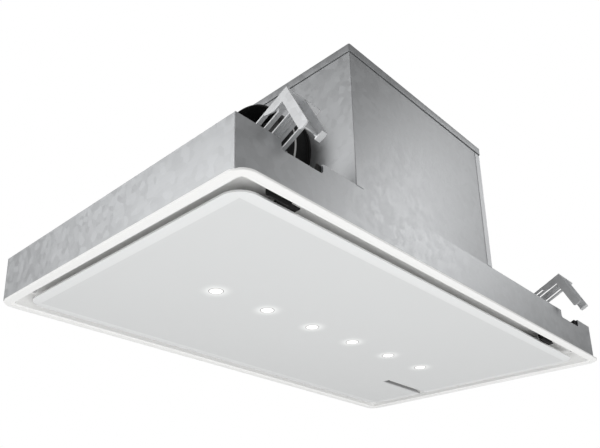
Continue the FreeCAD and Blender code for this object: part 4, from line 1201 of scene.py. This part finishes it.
# ---------------------------------------------------------------- clamps
@dataclass
class Clamp:
    """One swing clamp's claw: a slotted leg, a channel arm and a tube round the pin."""

    label: str
    place_x: float
    side: int
    pivot_y: float = 182.0
    pivot_z: float = 98.5
    tilt: float = 26.0
    leg: float = 73.0
    half: float = 29.0
    thick: float = 2.0
    tube: float = 6.0
    bore: float = 3.05
    arm_width: float = 13.0
    arm_pitch: float = 31.0
    arm_length: float = 68.0
    arm_tip: float = 9.0
    web_inset: float = 9.0
    slot_width: float = 7.0
    slot_margin: float = 6.0
    slot_step: float = 1.9
    slot_reach: tuple[tuple[float, float], ...] = ((0.18, 0.62), (0.14, 0.78), (0.14, 0.70))
    ridge_pitch: float = 5.2
    ridge_half: float = 1.3
    ridge_ends: tuple[float, float] = (8.0, 14.0)
    nose_share: float = 0.35
    cheek_low: float = 0.62
    cheek_high: float = 0.45

    def plate(self) -> Surface:
        """The leg: a plate with three round-ended slots and raised ridges between the last two.

        Returns:
            The surface, flat, with the pin along X through the origin.
        """
        z = (self.tube - self.thick, self.tube)
        x, w = self.half - 0.1, self.slot_width
        corners = np.array([[-x, 0.1 - self.leg], [x, 0.1 - self.leg], [x, 0.0], [-x, 0.0]])
        margin = self.slot_margin - self.half
        starts = (margin, margin + self.slot_step * w, -margin - w)
        holes = [oblong((start, start + w), (-self.leg * far - w / 2, -self.leg * near))
                 for start, (near, far) in zip(starts, self.slot_reach)]
        middle = (starts[1] + w + starts[2]) / 2
        ridges = [slab((middle + step - self.ridge_half, middle + step + self.ridge_half),
                       (self.ridge_ends[0] - self.leg, -self.ridge_ends[1]),
                       (z[0] - 0.9, z[0] + 0.3), 1.2, 0.6, 3)
                  for step in (-self.ridge_pitch, 0.0, self.ridge_pitch)]
        return total([pierced(corners, holes, z), *ridges])

    def arm(self) -> Surface:
        """Channel of two side strips and a web set back between them, with a foot at the far strip.

        Returns:
            The surface, hanging from the leg's free end.
        """
        x0, x1 = -self.half, -self.half + self.arm_pitch
        y = (-self.leg, -self.leg + self.arm_width)
        low, top = self.tube - self.arm_length, self.tube - 0.1
        bend, root = -self.leg * self.cheek_low, -self.leg * self.cheek_high
        cheek = [[y[1], -self.tube], [bend, -self.tube], [root, 2.0], [root, top], [y[0], top]]
        plain = [[y[1], top], [y[0], top]]
        return total([
            self.strip((x0, x0 + self.thick), y, low, cheek),
            self.strip((x1, x1 + self.thick), y, low, plain),
            slab((x0 + 0.5, x1 + 0.5), (y[0] + self.web_inset, y[0] + self.web_inset + self.thick),
                 (low + self.web_inset, top - 0.3), 0.6, 0.4, 2),
            slab((x1 + self.thick - self.arm_tip, x1 + self.thick - 0.1), (y[0] + 0.1, y[1] - 0.1),
                 (low + 0.1, low + self.thick), 0.8, 0.4, 2)])

    def strip(self, x: tuple[float, float], y: tuple[float, float], low: float,
              upper: Sequence[Sequence[float]]) -> Surface:
        """A side strip with a round nose at its lower end.

        Args:
            x: lower and upper limit along X.
            y: limits of the nose along Y.
            low: the nose's lowest height.
            upper: rows of (y, z) of the strip's upper part.

        Returns:
            The closed surface. The nose is half an ellipse, flatter than it is wide.
        """
        r, t = (y[1] - y[0]) / 2, arc(180, 360, 13)
        depth = r * self.nose_share
        nose = np.column_stack([(y[0] + y[1]) / 2 + r * np.cos(t), low + depth + depth * np.sin(t)])
        upright = np.array([[0.0, 0.0, 1.0], [1.0, 0.0, 0.0], [0.0, 1.0, 0.0]])
        return extrude(np.concatenate([nose, upper]), x).placed(upright)

    def barrel(self) -> Surface:
        """The tube rolled round the pin."""
        r, b = self.tube, self.bore
        section = [(r, -self.half + 0.5), (r, self.half - 0.5), (r - 0.5, self.half), (b, self.half),
                   (b, -self.half), (r - 0.5, -self.half)]
        return lathe(section, closed=True, segments=32).placed(ALONG_X)

    def build(self) -> None:
        """Make the claw at its rest angle."""
        shape = total([self.plate(), self.arm(), self.barrel()])
        turn = IDENTITY if self.side < 0 else HALF_TURN
        place = (self.place_x, self.side * self.pivot_y, self.pivot_z)
        piece("claw_" + self.label, shape.placed(turn @ about_x(-self.tilt), place), "claw_zinc",
              "claw_" + self.label, replaces=["clamp_claw_" + self.label], smooth=35.0)


# ---------------------------------------------------------------- filters
@dataclass
class GreaseFilter:
    """One cassette: a round-edged frame round a waved sheet of mesh, with two lugs at the back."""

    label: str
    centre_x: float
    half_x: float = 193.0
    half_y: float = 183.0
    low: float = 17.0
    high: float = 26.0
    rail: float = 12.0
    latch_half: float = 13.3
    lug_half: float = 15.0
    lug_reach: float = 7.5
    lug_z: tuple[float, float] = (19.2, 21.4)
    mesh_margin: float = 8.0
    mesh_thick: float = 0.8
    wave: float = 9.0
    wave_depth: float = 1.4

    def rails(self) -> Surface:
        """Round-edged rails, with a gap in the front one for the latch, and two lugs at the back.

        Returns:
            The surface, about the cassette's own middle.
        """
        a, b, w = self.half_x, self.half_y, self.rail
        rails = [((-a, a), (b - w, b)), ((-a, -a + w), (-b, b)), ((a - w, a), (-b, b)),
                 ((-a, -self.latch_half), (-b, -b + w)), ((self.latch_half, a), (-b, -b + w))]
        lugs = [slab((middle - self.lug_half, middle + self.lug_half), (b - w, b + self.lug_reach),
                     self.lug_z, 1.5, 0.4, 3) for middle in (-a / 2, a / 2)]
        return total([*(slab(x, y, (self.low, self.high), 2.0, 1.2, 3) for x, y in rails), *lugs])

    def mesh(self) -> Surface:
        """Waved sheet between the rails.

        Returns:
            The closed surface. Its height is middle + wave_depth sin(2 pi x / wave) over the grid.
        """
        x = np.linspace(self.mesh_margin - self.half_x, self.half_x - self.mesh_margin, 340)
        y = np.array([-self.half_y + self.rail + 12.0, 0.0, self.half_y - self.mesh_margin])
        grid_x, grid_y = np.meshgrid(x, y)
        height = (self.low + self.high) / 2 + self.wave_depth * np.sin(2 * math.pi * grid_x / self.wave)
        return patch(np.stack([grid_x, grid_y, height], -1), self.mesh_thick)

    def build(self) -> None:
        """Make the frame and its mesh."""
        piece("filter_frame_" + self.label, self.rails().moved(self.centre_x), "filter_frame",
              "housing", replaces=["grease_filter_" + self.label], smooth=40.0)
        piece("filter_mesh_" + self.label, self.mesh().moved(self.centre_x), "filter_mesh", "housing",
              smooth=50.0)


@dataclass
class FilterCarrier:
    """The pale plate that holds both cassettes and closes the air gap from above."""

    half_x: float = 428.0
    half_y: float = 230.5
    low: float = 18.0
    thick: float = 1.2
    corner: float = 1.0
    opening_x: float = 194.5
    opening_y: float = 184.5

    def build(self) -> None:
        """Make the plate with its two openings."""
        plan = rounded(self.half_x, self.half_y, self.corner, 2)
        opening = rounded(self.opening_x, self.opening_y, self.corner, 2)
        holes = [opening + [end * FILTER_X, 0.0] for end in SIDES]
        piece("carrier_plate", pierced(plan, holes, (self.low, self.low + self.thick)), "trim_paint",
              "housing", replaces=["filter_carrier"])


# ---------------------------------------------------------------- stage
@dataclass
class Studio:
    """Plain floor, white surroundings, soft lights and the camera at the photograph's angle.

    The camera's focal length and the centre of its axis are pixels of a picture of width by height.
    """

    floor_z: float = -900.0
    width: int = 600
    height: int = 448
    focal: float = 721.8
    centre_x: float = 251.5
    centre_y: float = 344.0
    place: tuple[float, float, float] = (-869.7, -691.1, -396.5)
    sensor: float = 36.0
    yaw: float = 0.7801
    pitch: float = 0.3316
    plain_world: float = 0.5
    mirrored_world: float = 0.21
    floor_half: float = 9000.0

    def floor(self) -> None:
        """A wide pale floor well below the hood."""
        a, z = self.floor_half, self.floor_z
        grid = np.array([[-a, -a, z], [a, -a, z], [a, a, z], [-a, a, z]]) * MM
        mesh = bpy.data.meshes.new("floor")
        mesh.from_pydata(grid.tolist(), [], [(0, 1, 2, 3)])
        graph = Graph("floor_white")
        graph.set(Base_Color=(0.82, 0.82, 0.82), Roughness=0.9)
        mesh.materials.append(graph.material)
        linked("floor", mesh)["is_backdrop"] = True

    def surroundings(self) -> None:
        """World: plain light on the object, white where the camera looks at it or through glass."""
        world = bpy.data.worlds.new("studio")
        bpy.context.scene.world = world
        world.use_nodes = True
        tree = world.node_tree
        tree.nodes.clear()

        def made(kind: str, *sources: bpy.types.NodeSocket) -> bpy.types.Node:
            """A new node, its first inputs linked to the sources in order."""
            node = tree.nodes.new("ShaderNode" + kind)
            for socket, source in zip(node.inputs, sources):
                tree.links.new(source, socket)
            return node

        light, white, mirrored = (made("Background") for _ in range(3))
        strengths = ((light, self.plain_world), (white, 1.0), (mirrored, self.mirrored_world))
        for background, strength in strengths:
            background.inputs["Color"].default_value = (1.0, 1.0, 1.0, 1.0)
            background.inputs["Strength"].default_value = strength
        rays = made("LightPath").outputs
        soft = made("MixShader", rays["Is Glossy Ray"], light.outputs[0], mirrored.outputs[0])
        seen = made("Math", rays["Is Camera Ray"], rays["Is Transmission Ray"])
        seen.operation = "MAXIMUM"
        mix = made("MixShader", seen.outputs[0], soft.outputs[0], white.outputs[0])
        made("OutputWorld", mix.outputs[0])

    def lamp(self, name: str, place: Sequence[float], target: Sequence[float],
             size: tuple[float, float], power: float, mirrored: bool = True) -> None:
        """One soft box that faces a point of the hood.

        Args:
            name: the light's name.
            place: where it stands, in metres.
            target: the point it faces, in metres.
            size: width and height in metres.
            power: in watts.
            mirrored: whether glossy surfaces show it.
        """
        data = bpy.data.lights.new(name, "AREA")
        data.shape, data.size, data.size_y, data.energy = "ELLIPSE", size[0], size[1], power
        thing = linked(name, data)
        thing.location = Vector(place)
        thing.rotation_euler = (Vector(target) - Vector(place)).to_track_quat("-Z", "Y").to_euler()
        thing.visible_glossy = mirrored
        thing.visible_camera = False
        thing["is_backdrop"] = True

    def camera(self) -> None:
        """The camera: focal length and shift from the photograph's frame."""
        data = bpy.data.cameras.new("camera")
        data.lens = self.focal * self.sensor / self.width
        data.sensor_width = self.sensor
        data.shift_x = (self.width / 2 - self.centre_x) / self.width
        data.shift_y = (self.centre_y - self.height / 2) / self.width
        thing = linked("camera", data)
        thing.location = Vector(self.place) * MM
        thing.rotation_euler = Euler((math.pi / 2 + self.pitch, 0.0, -self.yaw))
        bpy.context.scene.camera = thing

    def build(self) -> None:
        """Set the whole stage."""
        self.floor()
        self.surroundings()
        self.lamp("front_box", (1.30, -1.20, 0.85), (0.1, -0.24, 0.1), (0.5, 0.9), 3.4)
        self.lamp("left_box", (-2.20, 0.90, 0.50), (-0.45, 0.0, 0.07), (1.5, 1.5), 21.5)
        self.lamp("under", (0.0, -0.15, -0.75), (0.0, 0.0, 0.0), (3.0, 3.0), 17.0, mirrored=False)
        self.camera()
        bpy.context.scene.view_settings.view_transform = "Standard"


def corners(bounds: tuple[Vector, Vector]) -> list[list[float]]:
    """A pair of corners as plain lists."""
    return [list(map(float, corner)) for corner in bounds]


def main() -> None:
    """Build every sub-assembly in order."""
    logging.basicConfig(level=logging.INFO, format="%(message)s")
    solid_box = corners(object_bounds())
    PAINT.dress_nodes()
    clamps = [Clamp(f"{row}_{end}", x, side) for side, row in zip(SIDES, ("front", "back"))
              for end, x in zip(("left", "right"), CLAMP_X)]
    parts = [Rim(), LowerBody(), MotorBox(), Spigot(), GlassPanel(), *clamps,
             GreaseFilter("left", -FILTER_X), GreaseFilter("right", FILTER_X), FilterCarrier(), Studio()]
    for part in parts:
        LOG.info("building %s", type(part).__name__)
        part.build()
    {"solids": solid_box, "shown": corners(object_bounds())}


if __name__ == "__main__":
    main()
